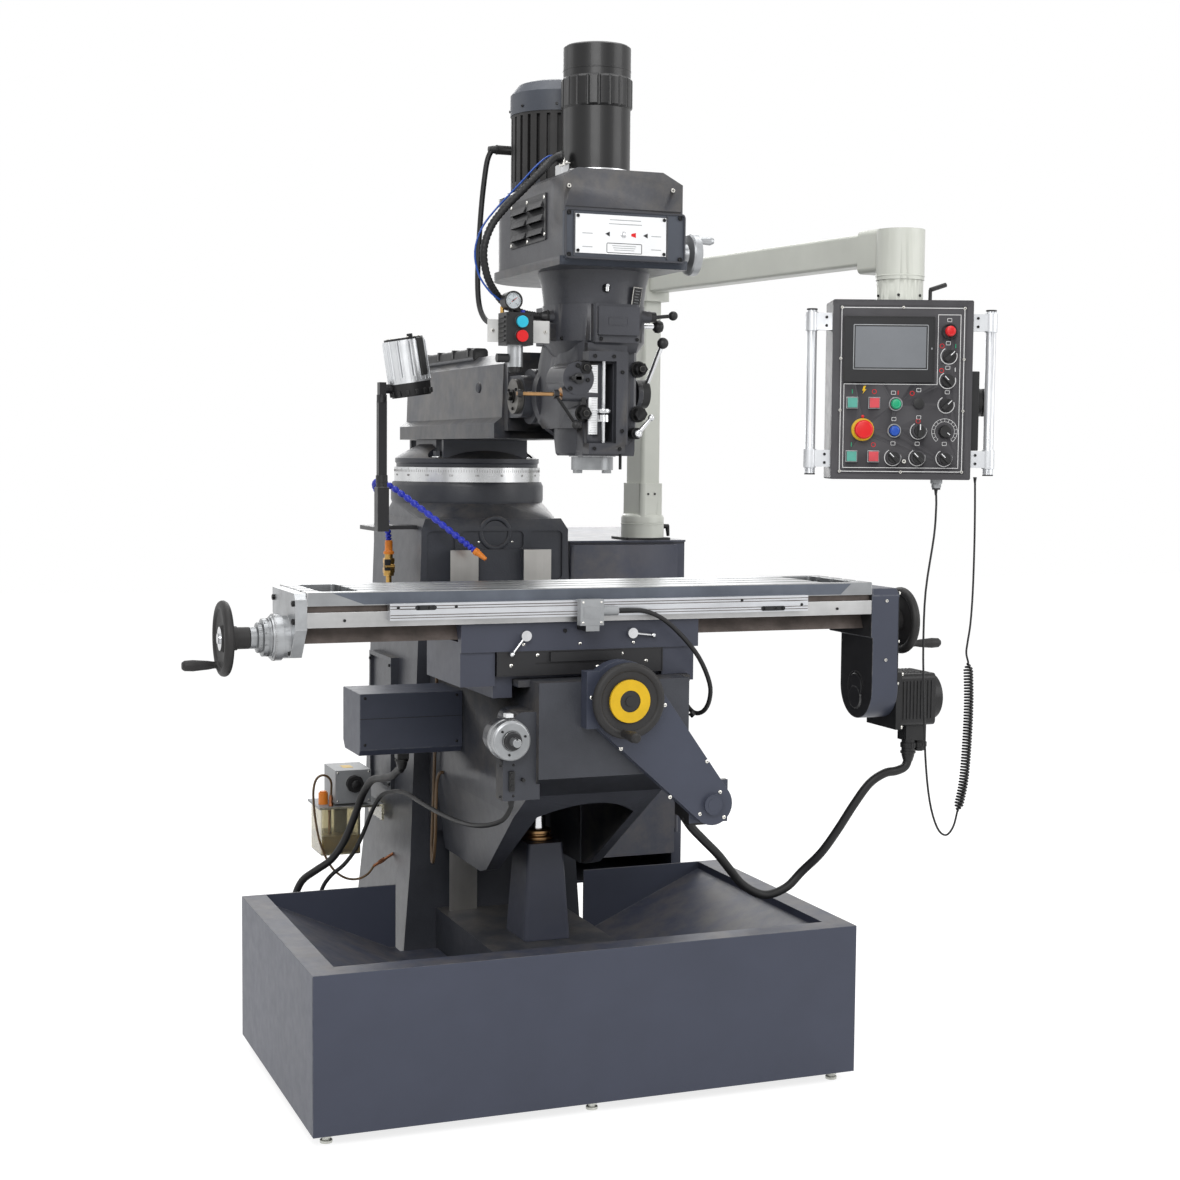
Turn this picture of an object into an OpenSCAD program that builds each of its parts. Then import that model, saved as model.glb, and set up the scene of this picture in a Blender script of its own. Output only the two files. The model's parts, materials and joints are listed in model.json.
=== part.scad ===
// Turret milling machine with a swivelling ram head, a pneumatic drawbar and an operator pendant.
// Frame: X to the operator's right, Y towards the column, Z up. Z = 0 is the floor.

/* [Work table] */
// Length of the table
table_length = 1270; // [1100:10:1400]
// Depth of the table, front to back
table_depth = 254; // [230:2:280]
// Height of the table's top face above the floor
table_top = 1134; // [1100:1:1150]
// Thickness of the table's top slab
table_slab = 71; // [60:1:80]
// Width of a T-slot's neck
slot_neck = 16; // [12:1:18]
// Distance between neighbouring T-slots
slot_pitch = 63; // [55:1:70]

/* [Tray] */
// Width of the coolant tray
tray_width = 1243; // [1200:1:1300]
// Depth of the coolant tray
tray_depth = 736; // [700:1:780]
// Height of the tray's wall
tray_height = 334; // [300:1:360]
// Gap under the tray
tray_lift = 25; // [15:1:40]
// Width of the flat rim folded inwards
tray_rim = 57; // [40:1:70]
// Thickness of the tray's sheet
tray_sheet = 5; // [3:1:8]

/* [Column and turret] */
// Half width of the column at its head
column_half = 189; // [180:1:200]
// Half width across the vertical slideways
way_half = 129; // [110:1:140]
// Radius of the turret's graduated ring
turret_radius = 185; // [170:1:195]
// Height of the ring's lower edge
turret_bottom = 1340; // [1320:1:1360]

/* [Ram and head] */
// Half width of the ram
ram_half = 115; // [100:1:125]
// Height of the spindle nose above the floor
nose_height = 1378; // [1370:1:1390]
// Radius of the spindle nose
nose_radius = 44.45; // [35:0.05:50]
// Radius of the drawbar unit
drawbar_radius = 71; // [60:1:75]
// Number of grooves around the drawbar unit
drawbar_grooves = 20; // [12:1:28]
// Number of fins around the spindle motor
motor_fins = 28; // [16:1:36]

/* [Handwheels] */
// Outer radius of a handwheel
wheel_radius = 77; // [65:1:85]
// Length of a handwheel's grip
grip_length = 72; // [60:1:85]

/* [Pendant] */
// Width of the operator pendant
pendant_width = 300; // [280:1:320]
// Height of the operator pendant
pendant_height = 382; // [360:1:400]
// Depth of the operator pendant
pendant_depth = 110; // [90:1:130]
// Outer diameter of the curly cord
curly_diameter = 22; // [16:1:26]

/* [Hidden] */
$fn = 48;
fine = 96;
gap = 0.4;
run_fit = 0.05;

// Heights and planes that the pieces share.
tray_front = -543;
tray_back = tray_front + tray_depth;
tray_top = tray_lift + tray_height;
floor_z = 205;
table_front = -559;
table_back = table_front + table_depth;
table_mid = (table_front + table_back) / 2;
table_base = table_top - table_slab;
way_face = 125;
column_front = 168;
column_back = 610;
turret_y = 401;
spindle_y = -472;
motor_y = -250;
screw_y = -480;
screw_z = 1040;
knee_top = 944;
knee_half = 168;
knee_front = -615;
lift_y = -144;
cross_x = 4;
cross_z = 909;
cap_top = 1445;
lamp_x = -306;
lamp_y = 100;
lamp_pivot = 1560;
nod_y = -300;
nod_z = 1536;
post_x = 466;
post_y = 349;
post_top = 1806;
arm_angle = 10.3;
elbow_reach = 1000;
pendant_turn = -21;
pendant_top = 1745;
foot_places = [for (x = [-585, 0, 585], y = [tray_front + 40, tray_back - 40]) if (x != 0 || y < 0) [x, y]];
cabinet_x = [245, 566];
cabinet_y = [300, 740];
cabinet_z = [300, 1185];
door_z = [366, 1179];

// Curves of the hoses and cables, round points along each route.
motor_cable_route = [
    [-124.4, -202, 2080], [-130, -202, 2080], [-138, -202, 2078], [-148, -201, 2056], [-155, -200, 2010],
    [-161, -199, 1950], [-166, -198, 1870], [-169, -200, 1790], [-170, -216, 1736], [-170, -256, 1704],
    [-168, -312, 1690], [-158, -362, 1687], [-140, -392, 1687], [-124, -400, 1687], [-113, -400, 1687]];
conduit_route = [
    [-84.4, -500, 2024], [-92, -503, 2023], [-110, -512, 2016], [-142, -530, 1987], [-180, -540, 1950],
    [-224, -540, 1906], [-252, -540, 1868], [-266, -538, 1822], [-256, -526, 1776], [-234, -510, 1744],
    [-206, -500, 1718], [-170, -498, 1702], [-140, -498, 1697], [-124, -498, 1696], [-112.4, -498, 1696]];
left_cable_route = [
    [-290, -20, 703.4], [-290, -20, 698], [-290, -20, 690], [-290, -12, 678], [-290, 10, 672],
    [-292, 60, 650], [-296, 130, 634], [-302, 200, 618], [-312, 245, 580], [-330, 262, 520],
    [-354, 268, 460], [-386, 270, 415], [-424, 278, 388], [-454, 292, 362], [-470, 302, 320],
    [-474, 304, 270], [-474, 304, 230], [-474, 304, 204]];
oil_tube_route = [
    [-178, 72, 929.6], [-178, 72, 920], [-178, 73, 860], [-178, 82, 740], [-178, 96, 600], [-179, 104, 500],
    [-181, 100, 452], [-184, 84, 432], [-186, 66, 448], [-186, 54, 500], [-186, 50, 580], [-184, 50, 630],
    [-177, 50, 652], [-168.5, 50, 654]];
dial_cable_route = [
    [-212, -570, 701.6], [-212, -570, 696], [-212, -569, 682], [-226, -556, 654], [-246, -500, 634],
    [-256, -400, 620], [-260, -250, 612], [-264, -100, 612], [-268, 40, 614], [-272, 130, 600],
    [-280, 196, 580], [-292, 232, 540], [-308, 246, 490], [-330, 252, 440], [-358, 258, 402],
    [-388, 266, 376], [-408, 274, 344], [-416, 276, 300], [-416, 276, 250], [-416, 276, 214]];
right_cable_route = [
    [224, -438, 935.6], [224, -438, 926], [224, -438, 900], [223, -438, 840], [221, -438, 760],
    [222, -438, 690], [230, -440, 632], [252, -444, 592], [284, -446, 558], [322, -440, 522],
    [362, -422, 480], [404, -406, 438], [460, -400, 410], [512, -406, 424], [550, -413, 461],
    [580, -446, 508], [606, -476, 566], [634, -498, 626], [666, -510, 674], [702, -514, 696],
    [732, -514, 700], [754, -514, 708], [762, -514, 724], [762, -514, 736], [762, -514, 743.4]];
reader_route = [
    [14.4, -588, 1087], [24, -588, 1087], [44, -589, 1087], [78, -592, 1084], [118, -592, 1066],
    [161, -590, 1030], [204, -584, 982], [234, -574, 926], [240, -562, 888], [234, -546, 862],
    [221, -528, 856], [210, -510, 872], [205, -501, 898], [204, -500, 918], [204, -500, 929.6]];
pendant_cord_route = [
    [728, -664, 1340], [728, -666, 1322], [727, -668, 1300], [722, -670, 1240], [704, -670, 1120],
    [701, -670, 1000], [705, -670, 900], [712, -670, 760], [724, -672, 660], [742, -676, 600],
    [762, -680, 582], [778, -684, 600], [786, -686, 632]];
curly_cord_route = [
    [786, -686, 632], [800, -687, 700], [806, -688, 790], [808, -688, 880], [804, -688, 966]];
thin_cord_route = [
    [804, -688, 966], [799, -688, 985], [802, -688, 1010], [808, -688, 1050], [812, -688, 1120],
    [812, -690, 1220], [810, -692, 1300], [807, -694, 1368]];
coolant_route = [
    [-236, 292, 1196], [-240, 290, 1225], [-250, 286, 1270], [-264, 276, 1305], [-282, 250, 1330],
    [-284, 225, 1341], [-274, 200, 1340], [-240, 170, 1314], [-196, 138, 1276], [-150, 104, 1236],
    [-110, 76, 1200], [-88, 60, 1180]];

// Half width of the column at height z, and shapes that many pieces share.
function column_side(z) = column_half + 27 * (1180 - z) / 780;
function unit(v) = v / norm(v);
function blend(a, b, c, d, t) = 0.5 * (2 * b + (c - a) * t + (2 * a - 5 * b + 4 * c - d) * t * t
    + (3 * b - a - 3 * c + d) * t * t * t);
function smooth_route(pts, steps) = [
    for (i = [0:len(pts) - 2], k = [0:steps - 1])
        blend(pts[max(i - 1, 0)], pts[i], pts[i + 1], pts[min(i + 2, len(pts) - 1)], k / steps),
    pts[len(pts) - 1]];

// A round tube swept along a route; side is a direction that the route never follows.
module tube(pts, diameter, steps = 3, sides = 8, side = [0.3, 1, 0.1]) {
    path = smooth_route(pts, steps);
    last = len(path) - 1;
    ring = [for (i = [0:last])
        let (along = unit(path[min(i + 1,
            last)] - path[max(i - 1, 0)]), a = unit(cross(along, side)), b = cross(along, a))
        for (k = [0:sides - 1]) path[i] + diameter / 2 * (a * cos(360 * k / sides)
            + b * sin(360 * k / sides))];
    walls = [for (i = [0:last - 1], k = [0:sides - 1])
        let (n = (k + 1) % sides) [i * sides + k, (i + 1) * sides + k, (i + 1) * sides + n, i * sides + n]];
    polyhedron(ring, concat(walls, [[for (k = [0:sides - 1]) k]],
        [[for (k = [sides - 1:-1:0]) last * sides + k]]));
}

module block(x, y, z) translate([x[0], y[0], z[0]]) cube([x[1] - x[0], y[1] - y[0], z[1] - z[0]]);
module rod_x(r, x, y, z) translate([x[0], y, z]) rotate([0, 90, 0]) cylinder(r = r, h = x[1] - x[0]);
module rod_y(r, y, x, z) translate([x, y[0], z]) rotate([-90, 0, 0]) cylinder(r = r, h = y[1] - y[0]);
module rod_z(r, z, x, y) translate([x, y, z[0]]) cylinder(r = r, h = z[1] - z[0]);
// Extrudes a side view, drawn in Y and Z, from x[0] to x[1].
module along_x(x) translate([x[0], 0, 0]) rotate([90, 0, 90]) linear_extrude(x[1] - x[0]) children();
// Extrudes a front view, drawn in X and Z, from y[0] to y[1].
module along_y(y) translate([0, y[1], 0]) rotate([90, 0, 0]) linear_extrude(y[1] - y[0]) children();
// Extrudes a plan, drawn in X and Y, from z[0] to z[1].
module along_z(z) translate([0, 0, z[0]]) linear_extrude(z[1] - z[0]) children();
module round_rect(x, y, r) {
    translate([x[0] + r, y[0]]) square([x[1] - x[0] - 2 * r, y[1] - y[0]]);
    translate([x[0], y[0] + r]) square([x[1] - x[0], y[1] - y[0] - 2 * r]);
    for (cx = [x[0] + r, x[1] - r], cy = [y[0] + r, y[1] - r]) translate([cx, cy]) circle(r);
}
module hex_bolt(across, height) cylinder(d = across / cos(30), h = height, $fn = 6);

// A dished handwheel with its axis along +Z, its hub from 0 to 34 and its rim ahead of the web.
module dished_wheel(radius, bore) {
    rotate_extrude($fn = fine) {
        polygon([[bore, 0], [24, 0], [26, 18], [radius - 16, 24], [radius - 14, 32], [27, 27],
            [24, 34], [bore, 34]]);
        translate([radius - 10, 26]) circle(10);
    }
}
// A tapered grip standing along +Z.
module grip() {
    rotate_extrude() polygon([[0, 0], [8, 0], [7, 8], [9, 20], [11.5, grip_length * 0.7],
        [10.5, grip_length - 5], [7, grip_length], [0, grip_length]]);
}
// A ball-ended lever standing along +Z from its root.
module ball_lever(length, thickness, ball) {
    cylinder(r1 = thickness, r2 = thickness * 0.75, h = length);
    translate([0, 0, length]) sphere(ball, $fn = 32);
}

/* ---- Base, column and what is fixed to them ---- */
module coolant_tray() {
    half = tray_width / 2;
    inner = half - tray_rim;
    color([0.26, 0.28, 0.34]) difference() {
        union() {
            // left and right walls with their folded rim and sloping inner panel, in one sheet
            for (side = [-1, 1]) scale([side, 1, 1]) along_y([tray_front, tray_back])
                polygon([[half, tray_lift], [half, tray_top], [inner, tray_top], [inner, tray_top - 18],
                    [262, floor_z], [0, floor_z], [0, floor_z - tray_sheet], [264, floor_z - tray_sheet],
                    [inner + tray_sheet, tray_top - 24], [inner + tray_sheet, tray_top - tray_sheet],
                    [half - tray_sheet, tray_top - tray_sheet], [half - tray_sheet, tray_lift]]);
            // front wall and rim
            block([-half, half], [tray_front, tray_front + tray_sheet], [tray_lift, tray_top]);
            block([-half, half], [tray_front, tray_front + tray_rim], [tray_top - tray_sheet, tray_top]);
            block([-inner, inner], [tray_front + tray_rim - tray_sheet, tray_front + tray_rim],
                [floor_z - tray_sheet, tray_top]);
            // rear wall
            block([-half, half], [tray_back - tray_sheet, tray_back], [tray_lift, tray_top]);
            // pads that carry the feet
            for (p = foot_places) block([p[0] - 36, p[0] + 36], [p[1] - 35, p[1] + 35],
                [tray_lift, tray_lift + 10]);
        }
        // the column's foot comes up through the floor and the rear wall
        block([-152, 152], [-300, tray_back - tray_sheet + 1], [0, floor_z + 1]);
        block([-246, 246], [column_front - 22, tray_back + 1], [0, tray_top + 1]);
        for (p = foot_places) rod_z(8 + run_fit, [tray_lift - 1, tray_lift + 12], p[0], p[1]);
    }
}

module levelling_feet() {
    color([0.78, 0.78, 0.75]) for (p = foot_places) translate([p[0], p[1], 0]) {
        cylinder(r = 13, h = 6);
        cylinder(r = 8, h = 52);
        translate([0, 0, 12]) hex_bolt(24, 13);
    }
}

module way_profile(inset) {
    polygon([[-way_half + inset, way_face + inset], [way_half - inset, way_face + inset],
        [way_half - 27 - inset, column_front + 2],
        [-way_half + 27 + inset, column_front + 2]]);
}

module column() {
    head_z = 1252;
    color([0.25, 0.26, 0.29]) difference() {
        union() {
            // tapered body: the front view cut by the side view
            intersection() {
                along_y([column_front, column_back + 40]) polygon([[-242, 0], [242, 0], [242, 60],
                    [216, 400], [column_half, 1180],
                    [column_half, 1225], [column_half - 14, head_z], [-column_half + 14, head_z],
                    [-column_half, 1225], [-column_half, 1180], [-216, 400], [-242, 60]]);
                along_x([-260, 260]) polygon([[column_front - 2, 0], [column_back + 35, 0],
                    [column_back + 35, 80],
                    [column_back, 420], [column_back, 1225], [column_back - 14, head_z],
                        [column_front + 14, head_z],
                    [column_front, 1225]]);
            }
            // shoulder and collar under the turret
            hull() {
                along_z([head_z - 8, head_z]) round_rect([-column_half + 16, column_half - 16],
                    [column_front + 20, column_back - 18], 40);
                rod_z(turret_radius + 4, [1285, 1290], 0, turret_y);
            }
            translate([0, turret_y, 1285]) rotate_extrude($fn = fine)
                polygon([[0, 0], [turret_radius + 6, 0], [turret_radius + 9, 10], [turret_radius + 9, 44],
                    [turret_radius + 4, 54.6], [0, 54.6]]);
            // vertical slideways
            along_z([300, 1178]) way_profile(0);
            // foot that reaches forward under the knee
            block([-150, 150], [-298, column_front + 2], [0, 300]);
            // access cover on the left side
            block([-column_half - 31, -column_half], [330, 540], [560, 900]);
        }
        // machined relief between the two slideways
        block([-58, 58], [way_face - 1, way_face + 22], [299, 1179]);
        // three cast recesses across the head
        along_y([column_front - 1, column_front + 5]) {
            round_rect([-90, 72], [1178, 1262 - 40], 12);
            round_rect([-174, -104], [1100, 1222], 12);
            round_rect([88, 174], [1100, 1222], 12);
        }
        // well for the elevating screw
        rod_z(27, [90, 301], 0, lift_y);
        // left side panels
        block([-column_half - 60, -column_half - 23], [340, 530], [570, 890]);
    }
}

module elevating_pedestal() {
    color([0.26, 0.27, 0.30]) difference() {
        hull() {
            along_z([300.2, 306]) round_rect([-56, 56], [lift_y - 76, lift_y + 60], 10);
            along_z([516, 522]) round_rect([-43, 43], [lift_y - 60, lift_y + 48], 10);
        }
        rod_z(26, [295, 530], 0, lift_y);
    }
    // bronze nut on the pedestal
    color([0.66, 0.50, 0.30]) translate([0, lift_y, 522.2]) rotate_extrude()
        polygon([[19 + run_fit, 0], [36, 0], [36, 8], [30, 10], [30, 14], [32, 15], [32, 22], [28, 25],
            [19 + run_fit, 25]]);
}

module electrical_cabinet() {
    wall = 6;
    color([0.27, 0.28, 0.32]) {
        difference() {
            union() {
                block(cabinet_x, cabinet_y, cabinet_z);
                // lid that rises a little to the back
                along_x([cabinet_x[0] - 2, cabinet_x[1] + 2]) polygon([[cabinet_y[0] - 2, cabinet_z[1]],
                    [cabinet_y[0] - 2, cabinet_z[1] + 5], [cabinet_y[0] + 130, cabinet_z[1] + 5],
                    [cabinet_y[1], cabinet_z[1] + 22], [cabinet_y[1], cabinet_z[1]]]);
            }
            // inside of the cabinet, open to the front behind the door
            block([cabinet_x[0] + wall, cabinet_x[1] - 28], [cabinet_y[0] - 1, cabinet_y[1] - wall],
                [cabinet_z[0] + wall, cabinet_z[1] - wall]);
            // rear air slots
            for (row = [0:5]) block([340, 470], [cabinet_y[1] - wall - 1, cabinet_y[1] + 1],
                [460 + 24 * row, 468 + 24 * row]);
        }
        // brackets that carry it on the column
        for (z = [470, 1090]) block([column_side(z), cabinet_x[0]], [420, 480], [z, z + 40]);
        // mounting plate for the electrical parts
        block([cabinet_x[0] + wall, cabinet_x[1] - 28], [cabinet_y[1] - 40, cabinet_y[1] - 34],
            [cabinet_z[0] + wall, cabinet_z[1] - wall]);
    }
}

module cabinet_door() {
    color([0.24, 0.25, 0.29]) {
        difference() {
            block([cabinet_x[0] + 2, cabinet_x[1] - 28.6], [cabinet_y[0] - 20, cabinet_y[0] - 1], door_z);
            block([cabinet_x[0] + 6, cabinet_x[1] - 34], [cabinet_y[0] - 17, cabinet_y[0]],
                [door_z[0] + 4, door_z[1] - 4]);
        }
        rod_z(5, [420, 500], cabinet_x[1] - 20, cabinet_y[0] - 10);
        rod_z(5, [1010, 1090], cabinet_x[1] - 20, cabinet_y[0] - 10);
        for (z = [430, 1020]) block([cabinet_x[1] - 40, cabinet_x[1] - 20],
            [cabinet_y[0] - 13, cabinet_y[0] - 7], [z, z + 60]);
    }
}

module post_base() {
    base = cabinet_z[1] + 5;
    color([0.10, 0.10, 0.11]) along_z([base, base + 6]) round_rect([post_x - 62, post_x + 62],
        [post_y - 46, post_y + 68], 6);
    color([0.75, 0.75, 0.72]) difference() {
        rod_z(56, [base + 6, base + 44], post_x, post_y, $fn = fine);
        rod_z(24, [base + 6, base + 45], post_x, post_y);
    }
    // clamping lever
    color([0.07, 0.07, 0.08]) {
        rod_x(6, [post_x + 54, post_x + 74], post_y, base + 34);
        translate([post_x + 71, post_y, base + 36]) rotate([0, 174, 0]) cylinder(r1 = 6, r2 = 4, h = 28);
    }
}

module lube_unit() {
    x0 = -346;
    y0 = 392;
    // pump housing and cap
    color([0.45, 0.46, 0.47]) {
        block([x0, x0 + 92], [y0, y0 + 120], [528, 612]);
        block([x0 - 42, -222], [y0 - 6, y0 + 126], [516, 522]);
        block([-228, -222], [y0 - 6, y0 + 126], [480, 522]);
    }
    color([0.08, 0.08, 0.09]) rod_y(21, [y0 - 16, y0], x0 + 48, 578);
    // clear reservoir
    color([0.80, 0.78, 0.60, 0.5]) difference() {
        along_z([398, 516]) round_rect([x0 - 36, x0 + 66], [y0, y0 + 118], 8);
        along_z([401, 515]) round_rect([x0 - 33, x0 + 63], [y0 + 3, y0 + 115], 6);
    }
    color([0.85, 0.50, 0.15]) rod_z(12, [522, 552], x0 - 22, y0 + 40);
}

module coolant_hose() {
    color([0.10, 0.20, 0.70]) tube(coolant_route, 15, 3, 8, [0.2, 0.25, 1]);
    color([0.85, 0.45, 0.12]) translate([-88, 60, 1180]) rotate([0, 126, -36])
        cylinder(r1 = 8, r2 = 4, h = 34, $fn = 24);
    color([0.72, 0.58, 0.28]) {
        rod_z(9, [1160, 1196], -236, 292);
        block([-252, -220], [276, 308], [1108, 1150]);
        rod_z(13, [1150, 1160], -236, 292);
    }
}

module lamp_bracket() {
    color([0.13, 0.13, 0.14]) {
        // angle plate bolted to the column's shoulder
        along_z([1226, 1236]) polygon([[-column_half, 200], [-column_half, 250], [-320, 250],
            [-320, 84], [-292, 84], [-292, 200]]);
        difference() {
            union() {
                block([-320, -292], [84, 116], [1226, 1330]);
                rod_z(13, [1330, 1340], lamp_x, lamp_y);
            }
            rod_z(7 + run_fit, [1290, 1341], lamp_x, lamp_y);
        }
    }
}

module lamp_arm() {
    color([0.12, 0.12, 0.13]) translate([lamp_x, lamp_y, 0]) {
        rod_z(7, [1292, 1342], 0, 0);
        rod_z(14, [1340.4, 1358], 0, 0);
        block([-10, 10], [-10, 10], [1352, 1532]);
        rod_z(12, [1528, 1546], 0, 0);
        block([-8, 8], [-11, 11], [1540, 1575]);
        rod_x(11, [-8, 14], 0, lamp_pivot);
    }
}

module work_light() {
    translate([lamp_x + 24, lamp_y, lamp_pivot]) {
        color([0.12, 0.12, 0.13]) rod_x(11, [-9.6, 12], 0, 0);
        translate([48, 0, -10]) rotate([0, -9, 0]) {
            // ribbed aluminium body
            color([0.72, 0.73, 0.74]) difference() {
                translate([0, 0, 26]) cylinder(r = 50, h = 100);
                for (a = [0:30:330]) rotate(a) translate([51, 0, 40]) cylinder(r = 4, h = 90, $fn = 16);
            }
            // lamp head with its bevel
            color([0.06, 0.06, 0.07]) rotate_extrude() polygon([[0, 2], [38, 2], [42, -6], [46, -6],
                [48, 8], [48, 26], [0, 26]]);
            color([0.08, 0.08, 0.09]) translate([0, 0, 126]) cylinder(r = 46, h = 5);
        }
    }
}

/* ---- Knee ---- */
module knee() {
    color([0.25, 0.26, 0.29]) difference() {
        union() {
            intersection() {
                along_x([-knee_half, knee_half]) polygon([[way_face - gap, knee_top],
                    [knee_front, knee_top], [knee_front, 745], [-548, 696],
                    [-200, 470], [-150, 456], [way_face - gap, 456]]);
                // the sides draw in towards the foot
                along_y([knee_front - 1, way_face]) polygon([[-knee_half, knee_top], [knee_half, knee_top],
                    [knee_half, 760], [136, 700], [136, 455], [-140, 455], [-knee_half, 640]]);
            }
            // top plate that the saddle slides on
            block([-194, 194], [-560, way_face - 30], [knee_top - 14, knee_top]);
            // clamping ears round the column's slideways
            block([-knee_half, -way_half - gap], [way_face - 1, column_front - 4], [500, knee_top - 20]);
            block([way_half + gap, knee_half], [way_face - 1, column_front - 4], [500, knee_top - 20]);
            // dial boss on the left, and the swelling it grows from
            rod_y(36, [-600, -552], -232, 831);
            along_y([-600, -500]) round_rect([-219, -150], [766, 884], 24);
            block([-240, -160], [-600, -556], [702, 790]);
        }
        // open inside, reached through the arch below
        along_x([-108, 108]) polygon([[60, 800], [-560, 800], [-560, 742], [-530, 718],
            [-180, 490], [-180, 400], [60, 400]]);
        // arch between the legs at the front
        along_y([knee_front - 1, -140]) intersection() {
            translate([-112, 380]) square([224, 300]);
            translate([0, 468]) circle(200, $fn = fine);
        }
        // bearing for the elevating screw
        rod_z(20 + run_fit, [790, 862], 0, lift_y);
        // cross screw, and the slot where the saddle's nut travels
        rod_y(15 + run_fit, [knee_front - 1, 40], cross_x, cross_z);
        block([cross_x - 36, cross_x + 36], [-470, 60], [872, knee_top + 1]);
        // dial shaft
        rod_y(16 + run_fit, [-601, -560], -232, 831);
    }
}

module y_drive() {
    upper = [cross_x, cross_z];
    lower = [211, 678];
    // flat belt cover over both pulleys
    color([0.26, 0.28, 0.33]) difference() {
        along_y([-648, knee_front]) union() {
            hull() {
                translate(upper) circle(80, $fn = 32);
                translate(lower) circle(45, $fn = 32);
            }
            translate([-76, 850]) square([110, 118]);
        }
        rod_y(16 + run_fit, [-650, knee_front], upper[0], upper[1]);
    }
    color([0.24, 0.25, 0.28]) rod_y(22, [-656, -648], lower[0], lower[1]);
    // servo motor behind the lower pulley
    color([0.08, 0.08, 0.09]) {
        block([lower[0] - 40, lower[0] + 50], [-615, -600], [lower[1] - 45, lower[1] + 45]);
        block([lower[0] - 36, lower[0] + 46], [-600, -532], [lower[1] - 40, lower[1] + 40]);
        block([lower[0] - 20, lower[0] + 30], [-575, -545], [lower[1] - 58, lower[1] - 38]);
    }
}

module z_drive_cover() {
    color([0.26, 0.27, 0.32]) along_x([-410, -knee_half])
        polygon([[-100, 868], [56, 868], [56, 745], [40, 726], [-88, 726], [-100, 740]]);
    // connector under the box
    color([0.10, 0.10, 0.11]) block([-304, -276], [-34, -6], [704, 726]);
}

module z_dial() {
    translate([-232, -600.4, 831]) rotate([90, 0, 0]) {
        color([0.62, 0.63, 0.64]) rotate_extrude($fn = fine) polygon([[0, 0], [43, 0], [43, 10],
            [41, 12], [41, 30], [37, 33],
            [0, 33]]);
        color([0.16, 0.16, 0.17]) cylinder(r = 18, h = 44);
        color([0.45, 0.44, 0.42]) difference() {
            cylinder(r = 9, h = 66);
            translate([-2, 5, 44]) cube([4, 6, 24]);
        }
        translate([0, 0, -39]) cylinder(r = 16, h = 40);
    }
}

module elevating_screw() {
    color([0.62, 0.62, 0.62]) {
        rod_z(19, [280, 800], 0, lift_y);
        rod_z(20, [795, 860], 0, lift_y);
        rod_z(30, [770, 795], 0, lift_y);
    }
}

module y_handwheel() {
    color([0.07, 0.07, 0.08]) translate([cross_x, -652, cross_z]) rotate([90, 0, 0]) {
        dished_wheel(wheel_radius + 2, 10);
        rotate(-12) translate([0, -(wheel_radius - 10), 34]) grip();
    }
    color([0.86, 0.70, 0.05]) translate([cross_x, -678, cross_z]) rotate([90, 0, 0]) difference() {
        cylinder(r = 44, h = 9, $fn = fine);
        translate([0, 0, 3]) cylinder(r = 23, h = 8);
    }
    color([0.55, 0.55, 0.55]) {
        rod_y(15, [-614, 30], cross_x, cross_z);
        rod_y(16, [-652, knee_front], cross_x, cross_z);
        rod_y(10, [-688, -652], cross_x, cross_z);
    }
}

/* ---- Saddle and table ---- */
module saddle() {
    color([0.25, 0.26, 0.29]) difference() {
        union() {
            block([-313, 219], [-546, -300], [1003, table_base - gap]);
            block([-236, 136], [-526, -300], [knee_top + gap, 1004]);
            along_y([-540, -300]) {
                polygon([[-313, 1004], [-238, 1004], [-238, 932], [-313, 932]]);
                polygon([[137, 1004], [211, 1004], [211, 930], [197, 930], [197, knee_top + gap],
                    [137, knee_top + gap]]);
            }
            // skirt beside the knee's top plate
            block([-238, -196], [-526, -300], [905, 1004]);
            // box where the cables of the table leave the saddle
            block([211, 240], [-462, -414], [936, 1003.5]);
            // lug for the cross screw's nut
            block([cross_x - 28, cross_x + 28], [-330, -270], [880, 1004]);
        }
        // dovetail slot for the table
        along_x([-314, 220]) polygon([[-525.8, 1024], [-338.2, 1024], [-356, 1064], [-508, 1064]]);
        rod_y(15 + run_fit, [-331, -269], cross_x, cross_z);
    }
    // nut block of the long screw, standing in the slot
    color([0.5, 0.5, 0.5]) difference() {
        block([-80, 0], [-498, -462], [1020, 1058]);
        rod_x(13 + run_fit, [-81, 1], screw_y, screw_z);
    }
}

module saddle_wipers() {
    color([0.14, 0.14, 0.15]) {
        block([-236, 136], [-545.8, -526.2], [952, 1002.8]);
        block([-120, 40], [-552, -546.2], [980, 1000]);
    }
    // position reader on the front of the saddle
    color([0.30, 0.33, 0.33]) {
        block([-72, -20], [-598, -578], [1058, 1112]);
        block([-60, -30], [-598, -546.2], [1046, 1057.8]);
        rod_x(10, [-20, 14], -588, 1087);
    }
}

module lock_lever(lean) {
    color([0.75, 0.75, 0.76]) {
        rotate([90, 0, 0]) cylinder(r = 11, h = 14);
        translate([0, -9, 0]) rotate([0, lean, 0]) translate([0, 0, 10]) ball_lever(38, 3.2, 6);
    }
}
module lock_lever_left() translate([-176, -546.4, 1036]) lock_lever(218);
module lock_lever_right() translate([62, -546.4, 1036]) lock_lever(97);

module t_slot(y) {
    translate([0, y, 0]) {
        block([-table_length / 2 - 1, table_length / 2 + 1], [-slot_neck / 2, slot_neck / 2],
            [table_top - 26, table_top + 1]);
        block([-table_length / 2 - 1, table_length / 2 + 1], [-14, 14], [table_top - 28, table_top - 16]);
    }
}

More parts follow.
